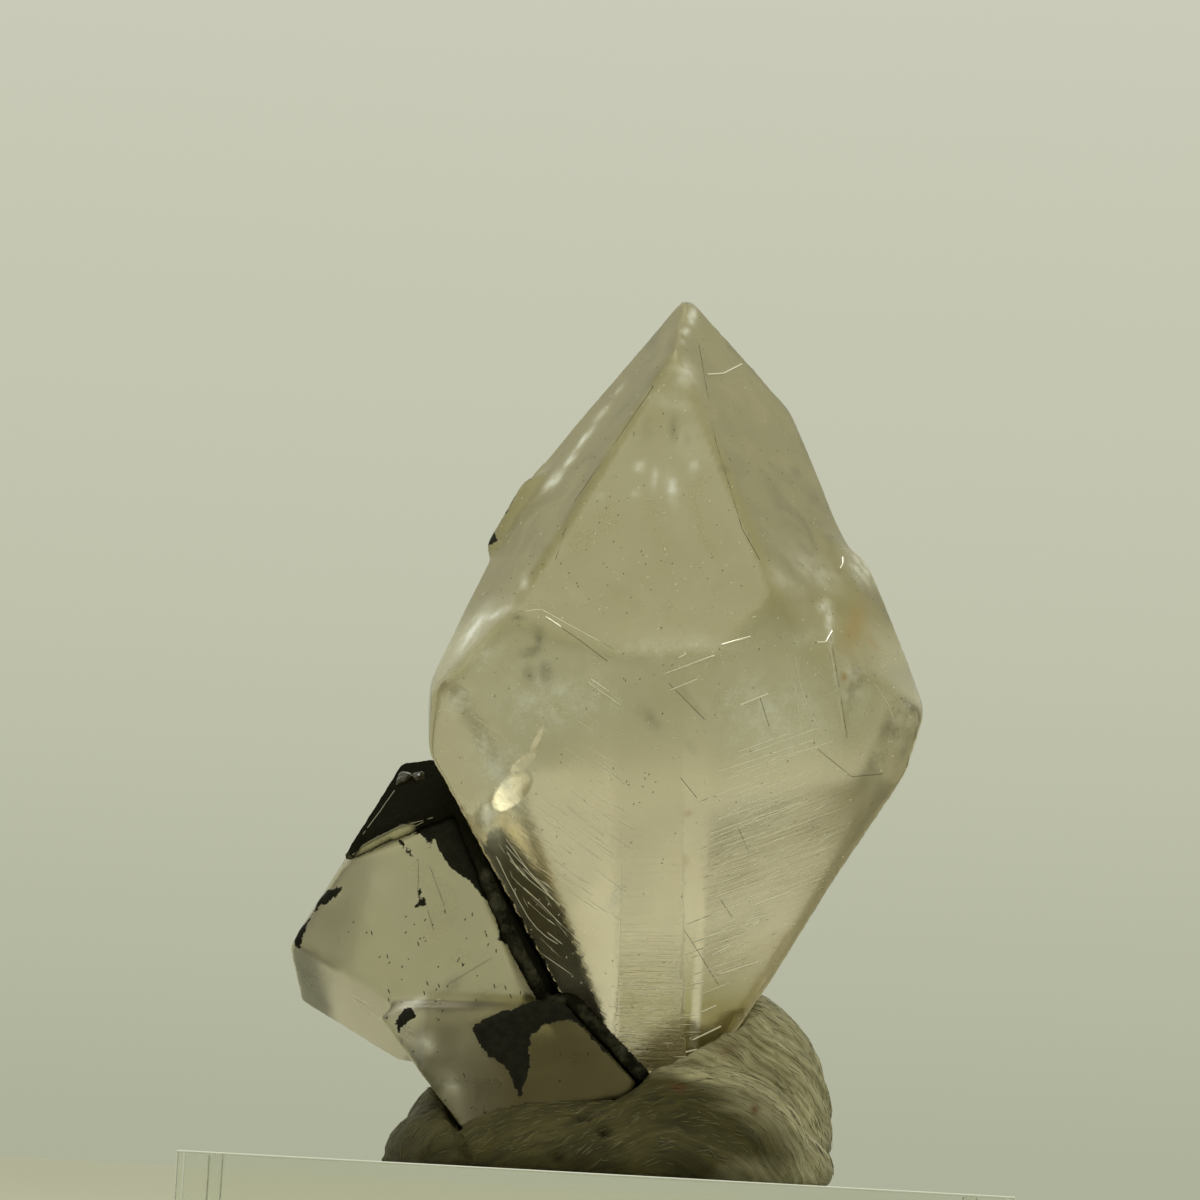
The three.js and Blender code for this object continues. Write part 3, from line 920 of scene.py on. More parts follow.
class SPECIMEN_OT_scratches(bpy.types.Operator):
    """Draw the scratches, growth lines and cracks on the large crystal."""

    bl_idname = "specimen.scratches"
    bl_label = "Scratches"

    def execute(self, context):
        crystal = bpy.data.objects["large_crystal"].data
        points, normals = points_of(crystal), normals_of(crystal)
        slot = "clear_calcite"
        bright, white = bruised_calcite("calcite_cracked", 1.0), bruised_calcite("calcite_bruised", 0.0)
        for name, face, slope, stray, spots, density, shortest, longest, width, seed in GROWTH_ROWS:
            turn = math.radians(slope)
            lie = np.array((math.cos(turn), 0.0, math.sin(turn)))
            crowd = on_face(normals, *face, 12) * soft_spots(points, spots)
            patch = patch_of(crystal, crowd, lie)
            strew(name, patch, bright, slot, density, shortest, longest, width, width, stray, seed)
        dark = dark_inclusion()
        # Dust and pin-holes over the whole front, lying any way.
        front = np.clip(-normals[:, 1], 0, 1)
        lie = np.array((1.0, 0.0, 0.0))
        for name, material, density, seed in (
                ("pale_specks", white, 0.5e6, 11), ("dark_specks", dark, 0.3e6, 12)):
            patch = patch_of(crystal, front, lie)
            strew(name, patch, material, slot, density, 0.05, 0.2, 0.06, 0.05, 90, seed)
        for name, lines, radius, material in (
                ("scratches", SCRATCHES, 0.065, bright), ("hairlines", HAIRLINES, 0.02, white),
                ("ruled_lines", self.ruled(), 0.03, bright), ("hairline_cracks", CRACKS, 0.018, dark)):
            draw_lines(name, wire_on(crystal, lines, 0.0), material, slot, radius)
        give(new_object("cleavage_flaws", self.flaws()), bright, slot)
        return {"FINISHED"}

    def ruled(self):
        """Long growth lines on the right face, nearly parallel."""
        draw = np.random.default_rng(8)
        lines = []
        for height in np.arange(*RULED_HEIGHTS):
            start = RULED_X + draw.uniform(0.0, 4.0)
            turn = math.radians(RULED_SLOPE + draw.uniform(-1.5, 1.5))
            low = height + (start - RULED_X) * math.tan(turn)
            limit = RULED_END_X + (low - RULED_END_HEIGHT) * RULED_END_LEAN
            end = min(start + draw.uniform(2.0, 7.0), limit)
            if end - start > 1.0:
                lines.append([(start, low), (end, low + (end - start) * math.tan(turn))])
        return lines

    def flaws(self):
        """Thin ovals in the depth of the crystal."""
        body = bmesh.new()
        face = Vector(facing(*FLAW_FACE)).to_track_quat("Z", "Y").to_matrix().to_4x4()
        for x, y, z, length, width, slope in FLAWS:
            turn = face @ Matrix.Rotation(math.radians(-slope), 4, "Z")
            size = Matrix.Diagonal((width / 2 * MM, length / 2 * MM, 0.03 * MM, 1.0))
            place = Matrix.Translation(Vector((x, y, z)) * MM)
            bmesh.ops.create_icosphere(body, subdivisions=3, radius=1.0, matrix=place @ turn @ size)
        mesh = mesh_from(body, "cleavage_flaws")
        mesh.shade_smooth()
        return mesh


# The broken crystal

# Black coating on its front, as front-view outlines in millimetres: the seam with the step
# patch below it, the ragged rim under the wedge, the left rim, and two small patches.
COATED = [
    [(-11.7, 34.1), (-11.3, 33.1), (-10.5, 32.0), (-9.0, 31.1), (-8.3, 30.2), (-7.5, 29.8),
     (-7.3, 28.9), (-7.0, 27.8), (-7.0, 27.4), (-5.5, 26.7), (-4.5, 25.9), (-3.8, 24.9),
     (-3.6, 23.9), (-4.7, 23.5), (-6.4, 22.8), (-7.4, 22.4), (-8.4, 21.7), (-8.0, 20.8),
     (-7.3, 19.9), (-6.1, 19.3), (-5.6, 18.3), (-5.0, 17.2), (-4.8, 18.4), (-4.5, 19.2),
     (-4.6, 20.6), (-4.6, 21.4), (-3.5, 22.2), (-2.4, 22.5), (-1.6, 22.3), (-0.6, 21.4),
     (0.4, 20.2), (1.4, 20.2), (2.2, 19.4), (2.5, 18.4), (3.9, 18.3), (2.5, 20.6),
     (-0.7, 23.4), (-3.5, 27.2), (-5.7, 31.3), (-7.1, 33.5), (-9.9, 36.0), (-10.9, 35.5)],
    [(-17.3, 32.3), (-17.2, 33.4), (-14.9, 34.6), (-13.2, 35.4), (-10.9, 35.4), (-9.9, 34.5),
     (-10.3, 33.7), (-11.7, 34.0), (-12.0, 32.7), (-12.1, 33.8), (-12.9, 34.2), (-13.9, 33.8),
     (-12.6, 32.3), (-13.6, 33.0), (-14.1, 33.8), (-14.9, 33.7), (-16.1, 33.1)],
    [(-17.5, 30.4), (-18.5, 30.0), (-19.3, 29.4), (-19.8, 28.6), (-20.2, 27.5), (-20.5, 26.5),
     (-20.0, 26.2), (-19.7, 27.1), (-19.5, 28.0), (-19.1, 28.8), (-18.3, 29.3), (-17.6, 29.9)],
    [(-13.4, 21.7), (-13.0, 22.5), (-12.5, 22.8), (-12.0, 22.2), (-12.6, 21.8), (-13.1, 21.1)],
    [(-12.5, 30.6), (-12.1, 30.1), (-11.7, 29.3), (-12.2, 29.4), (-12.6, 29.3), (-12.4, 29.9)],
]

# Smudges, milky spots, cracks and scratches on its front, in the terms of the large crystal's.
BROKEN_SMUDGES = [
    (-9.9, 24.4, 1.6, 0.8, 40, 0.6),
    (-8.0, 23.3, 1.8, 0.8, 20, 0.5),
    (-10.9, 22.7, 2.4, 0.7, 0, 0.5),
    (-9.0, 22.3, 1.6, 0.6, 0, 0.4),
    (-3.4, 20.4, 2.4, 1.6, 20, 0.4),
    (-11.6, 17.8, 1.6, 1.0, -40, 0.4),
]
BROKEN_MILK = [
    (-11.3, 20.4, 1.4, 1.2, 0, 0.5),
    (-12.4, 23.0, 2.0, 0.5, 30, 0.6),
    (-9.6, 18.0, 1.6, 1.0, -45, 0.35),
    (-15.0, 31.0, 3.0, 2.0, 20, 0.15),
]
BROKEN_CRACKS = [
    [(-10.3, 24.3), (-8.8, 25.3), (-7.5, 26.2)],
    [(-12.6, 32.5), (-12.5, 31.1), (-12.5, 30.2)],
    [(-11.8, 29.2), (-11.3, 27.9)],
    [(-11.8, 32.0), (-10.7, 29.5)],
]
BROKEN_SCRATCHES = [
    [(-8.0, 23.9), (-6.1, 24.8), (-4.5, 25.6)],
    [(-13.0, 22.9), (-11.9, 23.1), (-10.5, 23.4)],
    [(-8.7, 21.3), (-8.1, 20.5), (-7.3, 19.5), (-6.1, 18.1)],
]

# Where dark flecks crowd on its front.
FLECKED = [
    (-12.0, 25.0, 9.0, 6.0, 0, 1.0), (-6.5, 25.5, 6.0, 4.0, 0, 0.8),
    (-11.0, 18.0, 5.0, 4.0, -40, 0.9), (-1.5, 19.5, 3.0, 3.0, 0, 0.4)]

# The putty comes up to about this height round its foot, and higher behind its lower block,
# which lies to the right of this x and below this height, in millimetres.
BED_HEIGHT = 17.2
LOWER_BED_HEIGHT = 21.3
LOWER_BLOCK_X = -11.5
LOWER_BLOCK_HEIGHT = 24


class SPECIMEN_OT_broken_crystal(bpy.types.Operator):
    """Make the broken crystal with its black coating and dark flecks."""

    bl_idname = "specimen.broken_crystal"
    bl_label = "Broken crystal"

    def execute(self, context):
        look = context.scene.specimen_calcite
        made = skinned("broken_crystal", merged_copy("side_crystal"), look.skin)
        mesh = made.data
        points = smoothed(mesh, points_of(mesh), look.wear)
        set_points(mesh, points)
        normals = normals_of(mesh)
        coat = np.max([depth_inside(points[:, [0, 2]], outline) for outline in COATED], axis=0)
        coat = np.where(normals[:, 1] < -0.3, coat, -1.0)
        wave = unevenness(points, 5.0, 3) + 0.5 * unevenness(points, 1.6, 4)
        move = wave * look.waviness / MM + 0.12 * np.clip(coat / 0.3, 0, 1)
        points = points + normals * move[:, None]
        set_points(mesh, points)
        self.mark(mesh, points, normals, coat)
        mesh.shade_smooth()
        material = calcite("calcite_cleaved_faces", look, context.scene.specimen_rind)
        give(made, material, "broken_calcite", "side_crystal")
        self.detail(mesh, points, normals, coat)
        return {"FINISHED"}

    def mark(self, mesh, points, normals, coat):
        """Keeps where the crystal is coated, white with milk, dark and bedded in the putty, and where its
        lower block is painted in shade.
        """
        front = np.clip(-normals[:, 1] * 3, 0, 1)
        blank = np.zeros(len(points))
        store(mesh, "coat", coat)
        store(mesh, "milky_and_highlight", front * soft_spots(points, BROKEN_MILK))
        store(mesh, "smudge", front * soft_spots(points, BROKEN_SMUDGES))
        store(mesh, "rust", blank)
        bed_height = np.where(points[:, 0] > LOWER_BLOCK_X, LOWER_BED_HEIGHT, BED_HEIGHT)
        bed = np.clip((bed_height - points[:, 2]) / 0.6, 0, 1)
        store(mesh, "bedded", np.where(normals[:, 1] > -0.5, bed, 0.0))
        lower = (points[:, 2] < LOWER_BLOCK_HEIGHT) & (points[:, 0] > LOWER_BLOCK_X)
        # The lower block's front is painted darker, less on its glassy left: painted shade where it lies in
        # shade.
        glassy = np.clip(-(points[:, 0] + 5) / 4, 0, 1)
        store(mesh, "veil", np.where(lower, 0.16 + 0.16 * glassy, 0.2))
        store(mesh, "smoke_and_shade", np.where(lower, 0.85 - 0.3 * glassy, 0.2))
        store(mesh, "satin", blank + 0.3)
        store(mesh, "across", points[:, 2] - 0.5 * points[:, 0])
        store(mesh, "along", points[:, 0])
        store(mesh, "lines", blank + 0.1)

    def detail(self, mesh, points, normals, coat):
        """Strews dark flecks over the front and draws its cracks and scratches."""
        dark, bright = dark_inclusion(), bruised_calcite("calcite_bruised_edge", 0.0)
        crowd = np.where((normals[:, 1] < -0.6) & (coat < -0.25), soft_spots(points, FLECKED), 0.0)
        patch = patch_of(mesh, crowd, np.array((0.4, 0.0, 0.9)))
        strew("dark_flecks", patch, dark, "black_mineral", 1.1e6, 0.1, 0.4, 0.09, 0.06, 50, 7)
        for name, lines, material, slot in (
                ("broken_cracks", BROKEN_CRACKS, dark, "black_mineral"),
                ("broken_scratches", BROKEN_SCRATCHES, bright, "broken_calcite")):
            draw_lines(name, wire_on(mesh, lines, 0.02 * MM), material, slot, 0.02)


# The black rind

def black_mineral(rind):
    """A dull black mineral crust."""
    # Nearly black and grainy, with grey dust on its front and a bare pale rim.
    material, tree, shader, _ = new_material("black_mineral_crust")
    place = own_place(tree)
    kept = kept_numbers(tree, "dusty", "bare")
    # Grains of about 0.4 mm. Dust lies in patches of about 1 mm.
    grain = noise_at(tree, place, 2600.0, 5.0, 0.7)
    patch = noise_at(tree, place, 900.0, 5.0, 0.7)
    dust = spread(tree, patch, 0.42, 0.7, 0.0, kept["dusty"])
    colour = toned(
        tree, opaque(rind.colour), (grain, "#24231b"), (dust, "#4e4c3e"), (kept["bare"], "#b3ac88"))
    bump = add_node(tree, "ShaderNodeBump", {"Height": grain, "Strength": 0.6, "Distance": 0.1 * MM})
    fill(tree, shader, {
        "Base Color": colour, "Normal": bump.outputs["Normal"], "Roughness": 0.7, "Specular IOR Level": 0.0})
    return material


# The pale lip along the wedge's lower edge, with the highlight on its rim painted in, as front-view lines,
# and the glassy chips at its top as x, z and size, in millimetres.
WEDGE_LIP = [
    [(-16.9, 32.5), (-16.2, 33.2), (-15.4, 33.7), (-14.5, 34.2), (-13.8, 34.6), (-13.0, 34.8), (-11.8, 35.2)],
    [(-14.2, 34.3), (-13.5, 34.6), (-12.9, 34.6), (-12.4, 34.9)],
    [(-16.3, 33.9), (-15.4, 35.6), (-14.6, 37.2)],
]
WEDGE_CHIPS = [(-14.0, 38.0, 1.2), (-13.0, 38.1, 1.0)]
# Below the lip and left of this x, in millimetres, the rim is bare calcite.
BARE_X = -12.9

# The rim of the broken crystal's lower block, as turn and lean in degrees, and the height it reaches.
LOWER_RIM = (90, 46)
LOWER_RIM_HEIGHT = 25

# Dust lies on the seam below this height, and the bare rim is above the other, in millimetres.
DUSTY_HEIGHT = 33.0
BARE_HEIGHT = 31.5


class SPECIMEN_OT_black_rind(bpy.types.Operator):
    """Make the black rind on the wedge and along the contact of the crystals."""

    bl_idname = "specimen.black_rind"
    bl_label = "Black rind"

    def execute(self, context):
        rind = context.scene.specimen_rind
        made = skinned("black_rind", merged_copy("black_crust"), rind.skin)
        mesh = made.data
        points = smoothed(mesh, points_of(mesh), 2)
        set_points(mesh, points)
        rough = 0.7 * unevenness(points, 1.3, 5) + 0.5 * unevenness(points, 0.5, 6)
        normals = normals_of(mesh)
        # The rind swells to close the gap that the solids keep beside it, but not into the large
        # crystal, and it thins raggedly on the rim of the lower block.
        rim = np.clip((normals @ facing(*LOWER_RIM) - 0.75) / 0.2, 0, 1)
        rim *= np.clip(LOWER_RIM_HEIGHT - points[:, 2], 0, 1)
        beside = np.clip((-normals @ facing(*CONTACT_FACE) - 0.6) / 0.2, 0, 1)
        ragged = unevenness(points, 1.2, 26)
        move = (0.2 + rough * rind.grain / MM) * (1 - 0.9 * beside) - (0.8 + 0.5 * ragged) * rim
        set_points(mesh, points + normals * move[:, None])
        x, _, z = points.T
        front = np.clip(-3 * normals[:, 1] - 1.65, 0, 1)
        store(mesh, "dusty", front * np.clip((DUSTY_HEIGHT - z) / 1.5, 0, 1))
        lip = np.interp(x, *np.transpose(WEDGE_LIP[0]))
        bare = np.clip((lip - z) / 0.2, 0, 1) * np.clip((BARE_X - x) / 0.3, 0, 1)
        store(mesh, "bare", np.where(z > BARE_HEIGHT, front * bare, 0.0))
        mesh.shade_smooth()
        give(made, black_mineral(rind), "black_mineral", "black_crust")
        self.lip(mesh)
        return {"FINISHED"}

    def lip(self, mesh):
        """Lays the pale lip along the wedge's lower edge and the glassy chips at its top."""
        # Grey and matt: a pale lip with the highlight on the rim painted into it.
        dusty = plain_material("calcite_lip_highlight", Base_Color="#8a866e", Roughness=0.6)
        draw_lines("wedge_lip", wire_on(mesh, WEDGE_LIP, 0.0), dusty, "broken_calcite", 0.035)
        body = bmesh.new()
        for x, z, size in WEDGE_CHIPS:
            place = Matrix.Translation(on_surface(mesh, [(x, z)])[0])
            bmesh.ops.create_icosphere(body, subdivisions=3, radius=size / 2 * MM, matrix=place)
        chips = mesh_from(body, "wedge_chips")
        points = points_of(chips)
        set_points(chips, points + normals_of(chips) * (0.25 * unevenness(points, 0.6, 27))[:, None])
        # Clear and wet looking, brownish.
        glassy = plain_material(
            "calcite_glassy_chip", Base_Color="#b8a878", Roughness=0.06, Transmission_Weight=0.95, IOR=1.6)
        give(new_object("wedge_chips", chips), glassy, "broken_calcite")


# The putty

# The kneaded streaks run in arcs that rise to a crest and fall beyond it, in millimetres.
CREST_X, CREST_RISE, RISE_WIDTH, FALL_WIDTH = 6.0, 6.5, 10.0, 7.5
# A lobe folded over at the left end: the middle of its swirl, one place on its crease, and how far
# the crease runs left for each millimetre up.
LOBE_X, LOBE_Z = -9.6, 11.3
CREASE_X, CREASE_Z, CREASE_LEAN = -8.9, 15, 0.39
# Where the right lump begins, as x, the height above which its top is painted lit, and how high the paler
# foot and the block's top are.
LUMP_X, LUMP_LIT_TOP_HEIGHT = 9.5, 18.0
FOOT_HEIGHT, BLOCK_TOP = 14.6, 12.7

# Pits, painted near black as the shade in them, rust stains and a torn pale place on its front, in the terms
# of the large crystal's spots.
PITS = [(-0.9, 16.1, 0.9, 0.5, -20, 1.0), (0.4, 15.3, 0.8, 0.5, -30, 1.0), (-2.4, 13.5, 0.9, 0.4, 0, 0.8)]
PUTTY_RUST = [
    (5.1, 18.5, 0.9, 0.5, -10, 1.0), (10.0, 17.4, 0.5, 0.8, 0, 0.9), (8.2, 21.2, 1.6, 0.8, 20, 0.5)]
TORN = [(13.2, 17.2, 1.2, 1.8, 10, 1.0)]


def mounting_putty(look):
    """Kneaded mounting putty."""
    # Grey, streaked by kneading with paler fibres, with a dull waxy shine.
    material, tree, shader, _ = new_material("kneaded_putty")
    kept = kept_numbers(tree, "across", "along", "pale", "pit", "rust")
    # Streaks about 0.05 mm wide and 2 mm long, in bands of about 0.5 mm.
    streak = noise_at(tree, drawn_out(tree, kept, (0.5, 22.0, 1.0)), 1.0, 5.0, 0.65)
    band = noise_at(tree, drawn_out(tree, kept, (0.3, 2.2, 1.0)), 1.0, 3.0)
    # Mottled in patches of about 3 mm, where the streaks show more or less.
    mottle = noise_at(tree, own_place(tree), 330.0, 5.0, 0.6)
    both = reckoned(tree, "MULTIPLY", streak, band)
    mixed = reckoned(tree, "MULTIPLY_ADD", mottle, 0.5, both)
    share = spread(tree, mixed, 0.36, 0.66)
    # The light tone is laid on where the pale share is high: painted light on the right lump and its top, and
    # a painted highlight on the lip.
    dark = toned(tree, opaque(look.colour), (share, "#55502f"))
    light = toned(tree, "#75704e", (share, "#d2cba6"))
    # The pits are painted near black: painted shade.
    colour = toned(tree, dark, (kept["pale"], light), (kept["pit"], "#12120c"), (kept["rust"], "#5a3018"))
    bump = add_node(tree, "ShaderNodeBump", {"Height": streak, "Strength": 0.6, "Distance": 0.2 * MM})
    fill(tree, shader, {
        "Base Color": colour, "Normal": bump.outputs["Normal"], "Roughness": 0.5,
        "Specular IOR Level": 0.42, "Specular Tint": "#fff0b4"})
    return material


class SPECIMEN_OT_putty(bpy.types.Operator):
    """Make the putty that holds the crystals on the block."""

    bl_idname = "specimen.putty"
    bl_label = "Putty"

    def execute(self, context):
        look = context.scene.specimen_putty
        made = skinned("putty_bed", merged_copy("putty"), look.skin)
        mesh = made.data
        points = smoothed(mesh, points_of(mesh), 8)
        set_points(mesh, points)
        normals = normals_of(mesh)
        across, along = self.flow(points)
        laid = np.column_stack((along / 9.0, across / 1.2, points[:, 1] / 9.0))
        fine = np.column_stack((along / 5.0, across / 0.45, points[:, 1] / 5.0))
        folds = unevenness(laid, 1.0, 21) + 0.22 * unevenness(fine, 1.0, 22)
        crease = np.exp(-(self.past_crease(points) / 0.45) ** 2)
        pit = np.where(normals[:, 1] < -0.2, soft_spots(points, PITS), 0.0)
        move = 0.12 + folds * look.folds / MM - 0.2 * crease - 0.5 * pit
        # The foot keeps flat on the block.
        move *= np.clip((points[:, 2] - BLOCK_TOP - 0.1) / 0.8, 0, 1)
        points = points + normals * move[:, None]
        set_points(mesh, points)
        store(mesh, "across", across)
        store(mesh, "along", along)
        # Paler on the right lump, partly its own paler grey and partly painted light, lighter still on its
        # top, which is painted light where the top light falls, with a painted highlight along the lip under
        # the crystals, and paler at the foot.
        x, _, z = points.T
        lip = np.exp(-((z - 16.6 - 0.12 * x) / 0.7) ** 2) * np.clip(-normals[:, 1], 0, 1)
        pale = (x - LUMP_X) / 5 + 2.5 * np.clip((z - LUMP_LIT_TOP_HEIGHT) / 2, 0, 1) + soft_spots(points, TORN)
        pale = pale + 0.5 * lip + 0.4 * np.clip(FOOT_HEIGHT - z, 0, 1)
        store(mesh, "pale", np.clip(pale + 0.5 * unevenness(points, 3.0, 24), 0, 1))
        store(mesh, "pit", pit)
        store(mesh, "rust", np.where(normals[:, 1] < 0, soft_spots(points, PUTTY_RUST), 0.0))
        mesh.shade_smooth()
        give(made, mounting_putty(look), "mounting_putty", "putty")
        self.fibres(mesh, points, normals)
        return {"FINISHED"}

    def fibres(self, mesh, points, normals):
        """Strews pale and dark fibres along the streaks. The pale ones are partly fibres and partly painted
        glints on the fine ridges.
        """
        step = 0.3
        ways = ((0, 0, 0), (1, 0, 0), (0, 0, 1))
        here, right, up = (self.flow(points + np.array(way) * step)[0] for way in ways)
        lie = np.column_stack((up - here, np.zeros(len(points)), here - right))
        lie /= np.linalg.norm(lie, axis=1, keepdims=True)
        crowd = np.clip(0.7 - normals[:, 1], 0, 1) * np.clip(points[:, 2] - BLOCK_TOP - 0.5, 0, 1)
        for name, colour, density, seed in (
                ("pale_fibres_and_glints", "#7a7552", 2.2e6, 31), ("dark_fibres", "#2b2816", 1.4e6, 32)):
            # Waxy, paler or darker than the putty round it; the pale ones also paint the glints on fine
            # ridges.
            material = plain_material("putty_" + name, Base_Color=colour, Roughness=0.5)
            patch = patch_of(mesh, crowd, lie)
            strew(name, patch, material, "mounting_putty", density, 0.2, 1.3, 0.04, 0.04, 20, seed)

    def past_crease(self, points):
        """How far to the left of the crease each point lies."""
        return CREASE_X - CREASE_LEAN * (points[:, 2] - CREASE_Z) - points[:, 0]

    def flow(self, points):
        """For each point, its place across and along the kneaded streaks."""
        x, z = points[:, 0], points[:, 2]
        width = np.where(x < CREST_X, RISE_WIDTH, FALL_WIDTH)
        arc = z - CREST_RISE * np.exp(-((x - CREST_X) / width) ** 2)
        swirl = np.hypot(x - LOBE_X, z - LOBE_Z) + 3.0
        share = np.clip(self.past_crease(points) / 0.8 + 0.5, 0, 1)
        stirred = 1.2 * unevenness(points, 5.0, 23) + 0.35 * unevenness(points, 1.6, 25)
        across = arc * (1 - share) + swirl * share + stirred + 0.3 * points[:, 1]
        return across, x + 0.4 * z


# The acrylic block

def clear_acrylic(look):
    """Cast acrylic with polished faces."""
    # As clear as glass, a trace of grey-green in its depth, faint smears of about 10 mm on the polish.
    material, tree, shader, output = new_material("acrylic_polished")
    smear = noise_at(tree, own_place(tree), 90.0, 3.0)
    fill(tree, shader, {
        "Base Color": "#fbfcf8", "Roughness": spread(tree, smear, 0.35, 0.7, 0.01, 0.06),
        "Transmission Weight": 1.0, "IOR": 1.49})
    tint_depth(tree, output, look.tint, 3.0)
    return material


class SPECIMEN_OT_block(bpy.types.Operator):
    """Make the clear acrylic block."""

    bl_idname = "specimen.block"
    bl_label = "Acrylic block"

    def execute(self, context):
        look = context.scene.specimen_block
        low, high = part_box("acrylic_block")
        body = bmesh.new()
        bmesh.ops.create_cube(body, size=1.0)
        for vert in body.verts:
            vert.co = Vector(h if c > 0 else l for c, l, h in zip(vert.co, low, high))
        upright = [e for e in body.edges if abs(e.verts[0].co.z - e.verts[1].co.z) > 1 * MM]
        bmesh.ops.bevel(body, geom=upright, offset=look.corner, segments=1, affect="EDGES")
        bmesh.ops.bevel(body, geom=body.edges[:], offset=look.rounding, segments=2, affect="EDGES")
        made = new_object("clear_block", mesh_from(body, "clear_block"))
        give(made, clear_acrylic(look), "clear_acrylic", "acrylic_block")
        self.paint_edge_highlights(Vector(low), Vector(high), look)
        return {"FINISHED"}

    def paint_edge_highlights(self, low, high, look):
        """Lays a thin white line along the top edges and down the upright corners: a painted highlight where
        the polished edges catch the light.
        """
        body = bmesh.new()
        inset = look.corner
        corners = [
            ((low.x, low.y + inset), (low.x + inset, low.y)),
            ((high.x - inset, low.y), (high.x, low.y + inset)),
            ((high.x, high.y - inset), (high.x - inset, high.y)),
            ((low.x + inset, high.y), (low.x, high.y - inset))]
        ring = [spot for pair in corners for spot in pair]
        lines = [((*a, high.z), (*b, high.z)) for a, b in zip(ring, ring[1:] + ring[:1])]
        lines += [((*spot, low.z), (*spot, high.z)) for spot in ring]
        for a, b in lines:
            body.edges.new((body.verts.new(a), body.verts.new(b)))
        # White and matt, so that it shows as a thin pale line: a painted highlight.
        highlight_white = plain_material("acrylic_edge_highlight", Base_Color="#e4e6dc", Roughness=0.8)
        wire = mesh_from(body, "painted_edge_highlights")
        draw_lines("painted_edge_highlights", wire, highlight_white, "clear_acrylic", look.rounding / MM * 0.5)


# The stage

# The room's colours by the height of the look, from level to straight up.
ROOM_COLOURS = [
    (0.0, "#aeb19a"), (0.10, "#bfc1ab"), (0.23, "#c9cbb8"), (0.45, "#dcddca"), (0.65, "#ebebda"),
    (1.0, "#ededdd")]
# The lamp overhead, the middle of the specimen that it points at, and its width, in metres.
LAMP_PLACE = (-0.01, -0.02, 0.75)
LAMP_AIM = (0, 0, 0.04)
LAMP_SIZE = 0.3
# The camera's place in millimetres, and how far it looks up and is tilted, in degrees.
CAMERA_PLACE = (-1.7, -330, 12.7)
CAMERA_PITCH, CAMERA_ROLL = 6.545, 3.2


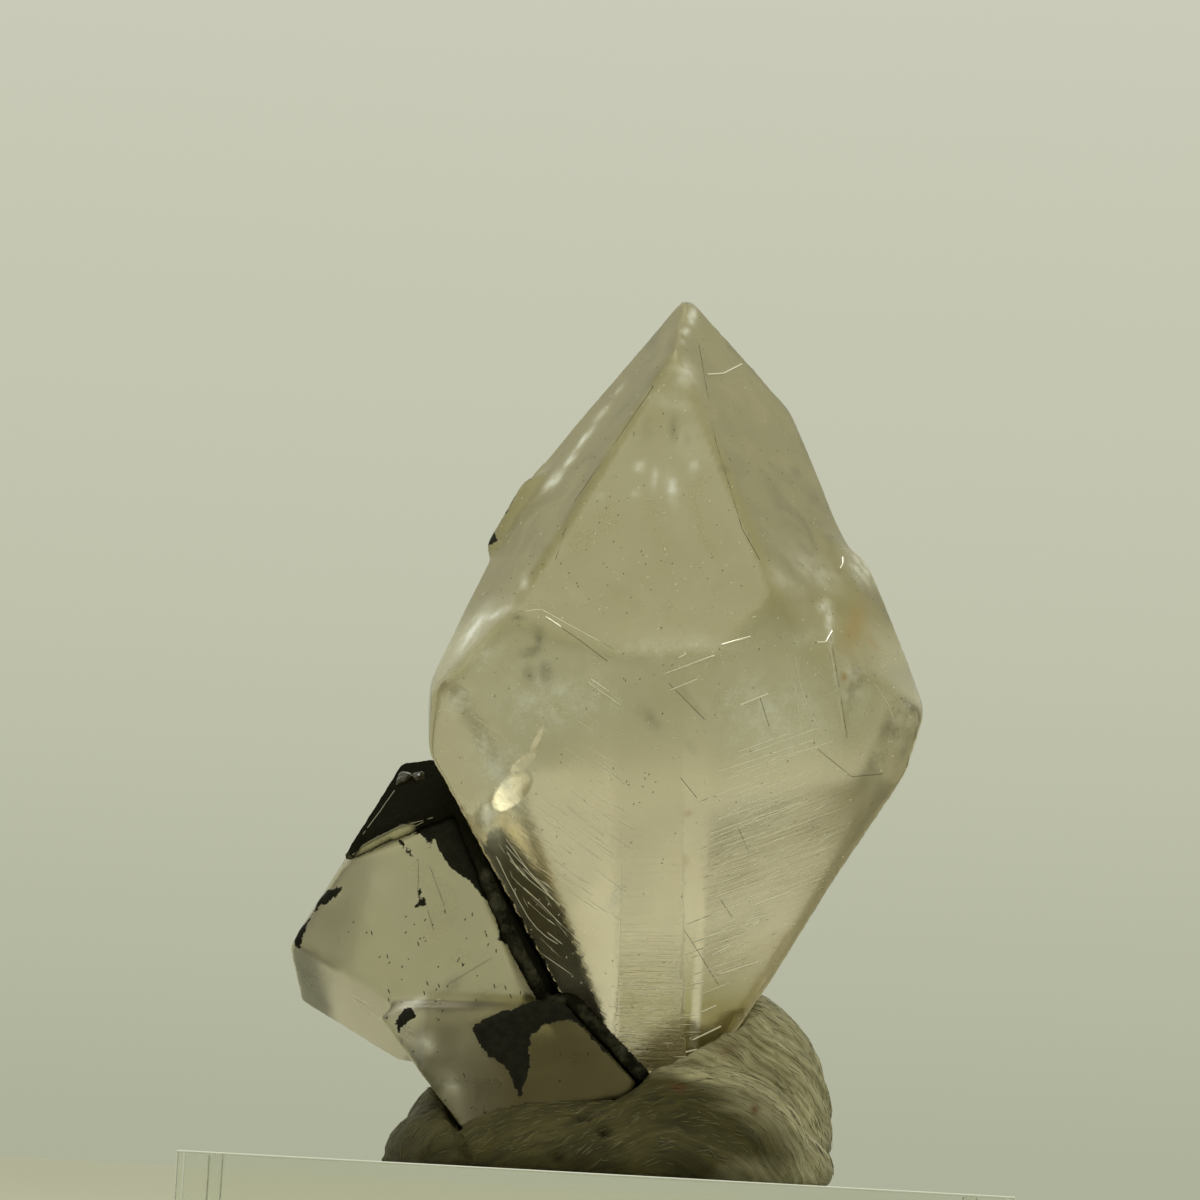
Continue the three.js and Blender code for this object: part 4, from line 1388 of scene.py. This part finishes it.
class SPECIMEN_OT_stage(bpy.types.Operator):
    """Make the floor, the soft studio light and the camera."""

    bl_idname = "specimen.stage"
    bl_label = "Stage"

    def execute(self, context):
        scene = context.scene
        look = scene.specimen_stage
        self.make_floor(look)
        self.make_light(scene, look)
        self.make_camera(scene, look)
        scene.view_settings.view_transform = "Standard"
        # Light turns back many times inside clear crystal.
        scene.cycles.max_bounces = 24
        scene.cycles.transmission_bounces = 24
        scene.cycles.glossy_bounces = 12
        return {"FINISHED"}

    def make_floor(self, look):
        sheet = bmesh.new()
        bmesh.ops.create_circle(sheet, cap_ends=True, segments=64, radius=4.0)
        floor = new_object("floor", mesh_from(sheet, "floor"))
        # Pale and matt, like paper.
        paper = plain_material("floor_matt_paper", Base_Color=opaque(look.floor), Roughness=0.9)
        floor.data.materials.append(paper)
        floor.location.z = -0.05 * MM

    def make_light(self, scene, look):
        world = bpy.data.worlds.new("studio")
        world.use_nodes = True
        scene.world = world
        tree = world.node_tree
        tree.nodes.clear()
        way = add_node(tree, "ShaderNodeTexCoord").outputs["Generated"]
        way = add_node(tree, "ShaderNodeSeparateXYZ", {"Vector": way}).outputs
        sweep = add_node(tree, "ShaderNodeValToRGB", {"Fac": way["Z"]})
        steps = sweep.color_ramp.elements
        # The ramp starts with its two ends.
        for where, _ in ROOM_COLOURS[1:-1]:
            steps.new(where)
        for step, (_, colour) in zip(steps, ROOM_COLOURS):
            step.color = opaque(linear(colour))
        # The room behind the camera is dimmer than the backdrop, but the camera never sees that.
        behind = reckoned(tree, "ADD", way["Y"], way["Z"])
        room = spread(tree, behind, -0.9, 0.4, look.front_fill)
        seen = add_node(tree, "ShaderNodeLightPath").outputs["Is Camera Ray"]
        strength = reckoned(tree, "MAXIMUM", room, seen)
        glow = add_node(tree, "ShaderNodeBackground", {"Color": sweep.outputs["Color"], "Strength": strength})
        add_node(tree, "ShaderNodeOutputWorld", {"Surface": glow.outputs["Background"]})
        lamp = bpy.data.lights.new("top_light", "AREA")
        lamp.shape = "SQUARE"
        lamp.size = LAMP_SIZE
        lamp.energy = look.top_light
        holder = bpy.data.objects.new("top_light", lamp)
        holder.location = LAMP_PLACE
        aim = Vector(LAMP_AIM) - holder.location
        holder.rotation_euler = aim.to_track_quat("-Z", "Y").to_euler()
        scene.collection.objects.link(holder)

    def make_camera(self, scene, look):
        data = bpy.data.cameras.new("camera")
        data.lens = look.lens
        data.sensor_width = 36.0
        data.clip_start = 0.01
        data.clip_end = 20.0
        camera = bpy.data.objects.new("camera", data)
        pitch = Matrix.Rotation(math.radians(90 + CAMERA_PITCH), 4, "X")
        roll = Matrix.Rotation(math.radians(CAMERA_ROLL), 4, "Z")
        camera.matrix_world = Matrix.Translation(Vector(CAMERA_PLACE) * MM) @ pitch @ roll
        scene.collection.objects.link(camera)
        scene.camera = camera


class SPECIMEN_PT_panel(bpy.types.Panel):
    """The specimen's pieces in the sidebar of the 3D view."""

    bl_idname = "SPECIMEN_PT_panel"
    bl_label = "Calcite specimen"
    bl_space_type = "VIEW_3D"
    bl_region_type = "UI"
    bl_category = "Specimen"

    def draw(self, context):
        for kind in OPERATORS:
            self.layout.operator(kind.bl_idname)
        for name, kind in SETTINGS.items():
            box = self.layout.box()
            box.label(text=kind.__doc__)
            for prop in kind.__annotations__:
                box.prop(getattr(context.scene, name), prop)


SETTINGS = {
    "specimen_calcite": CalciteSettings,
    "specimen_rind": RindSettings,
    "specimen_putty": PuttySettings,
    "specimen_block": BlockSettings,
    "specimen_stage": StageSettings,
}
OPERATORS = [
    SPECIMEN_OT_stage,
    SPECIMEN_OT_block,
    SPECIMEN_OT_large_crystal,
    SPECIMEN_OT_scratches,
    SPECIMEN_OT_broken_crystal,
    SPECIMEN_OT_black_rind,
    SPECIMEN_OT_putty,
]


def register():
    for kind in (*SETTINGS.values(), *OPERATORS, SPECIMEN_PT_panel):
        bpy.utils.register_class(kind)
    for name, kind in SETTINGS.items():
        setattr(bpy.types.Scene, name, PointerProperty(type=kind))


def unregister():
    for name in SETTINGS:
        delattr(bpy.types.Scene, name)
    for kind in (SPECIMEN_PT_panel, *reversed(OPERATORS), *reversed(SETTINGS.values())):
        bpy.utils.unregister_class(kind)


def main():
    register()
    bpy.ops.specimen.stage()
    bpy.ops.specimen.block()
    bpy.ops.specimen.large_crystal()
    bpy.ops.specimen.scratches()
    bpy.ops.specimen.broken_crystal()
    bpy.ops.specimen.black_rind()
    bpy.ops.specimen.putty()


if __name__ == "__main__":
    main()
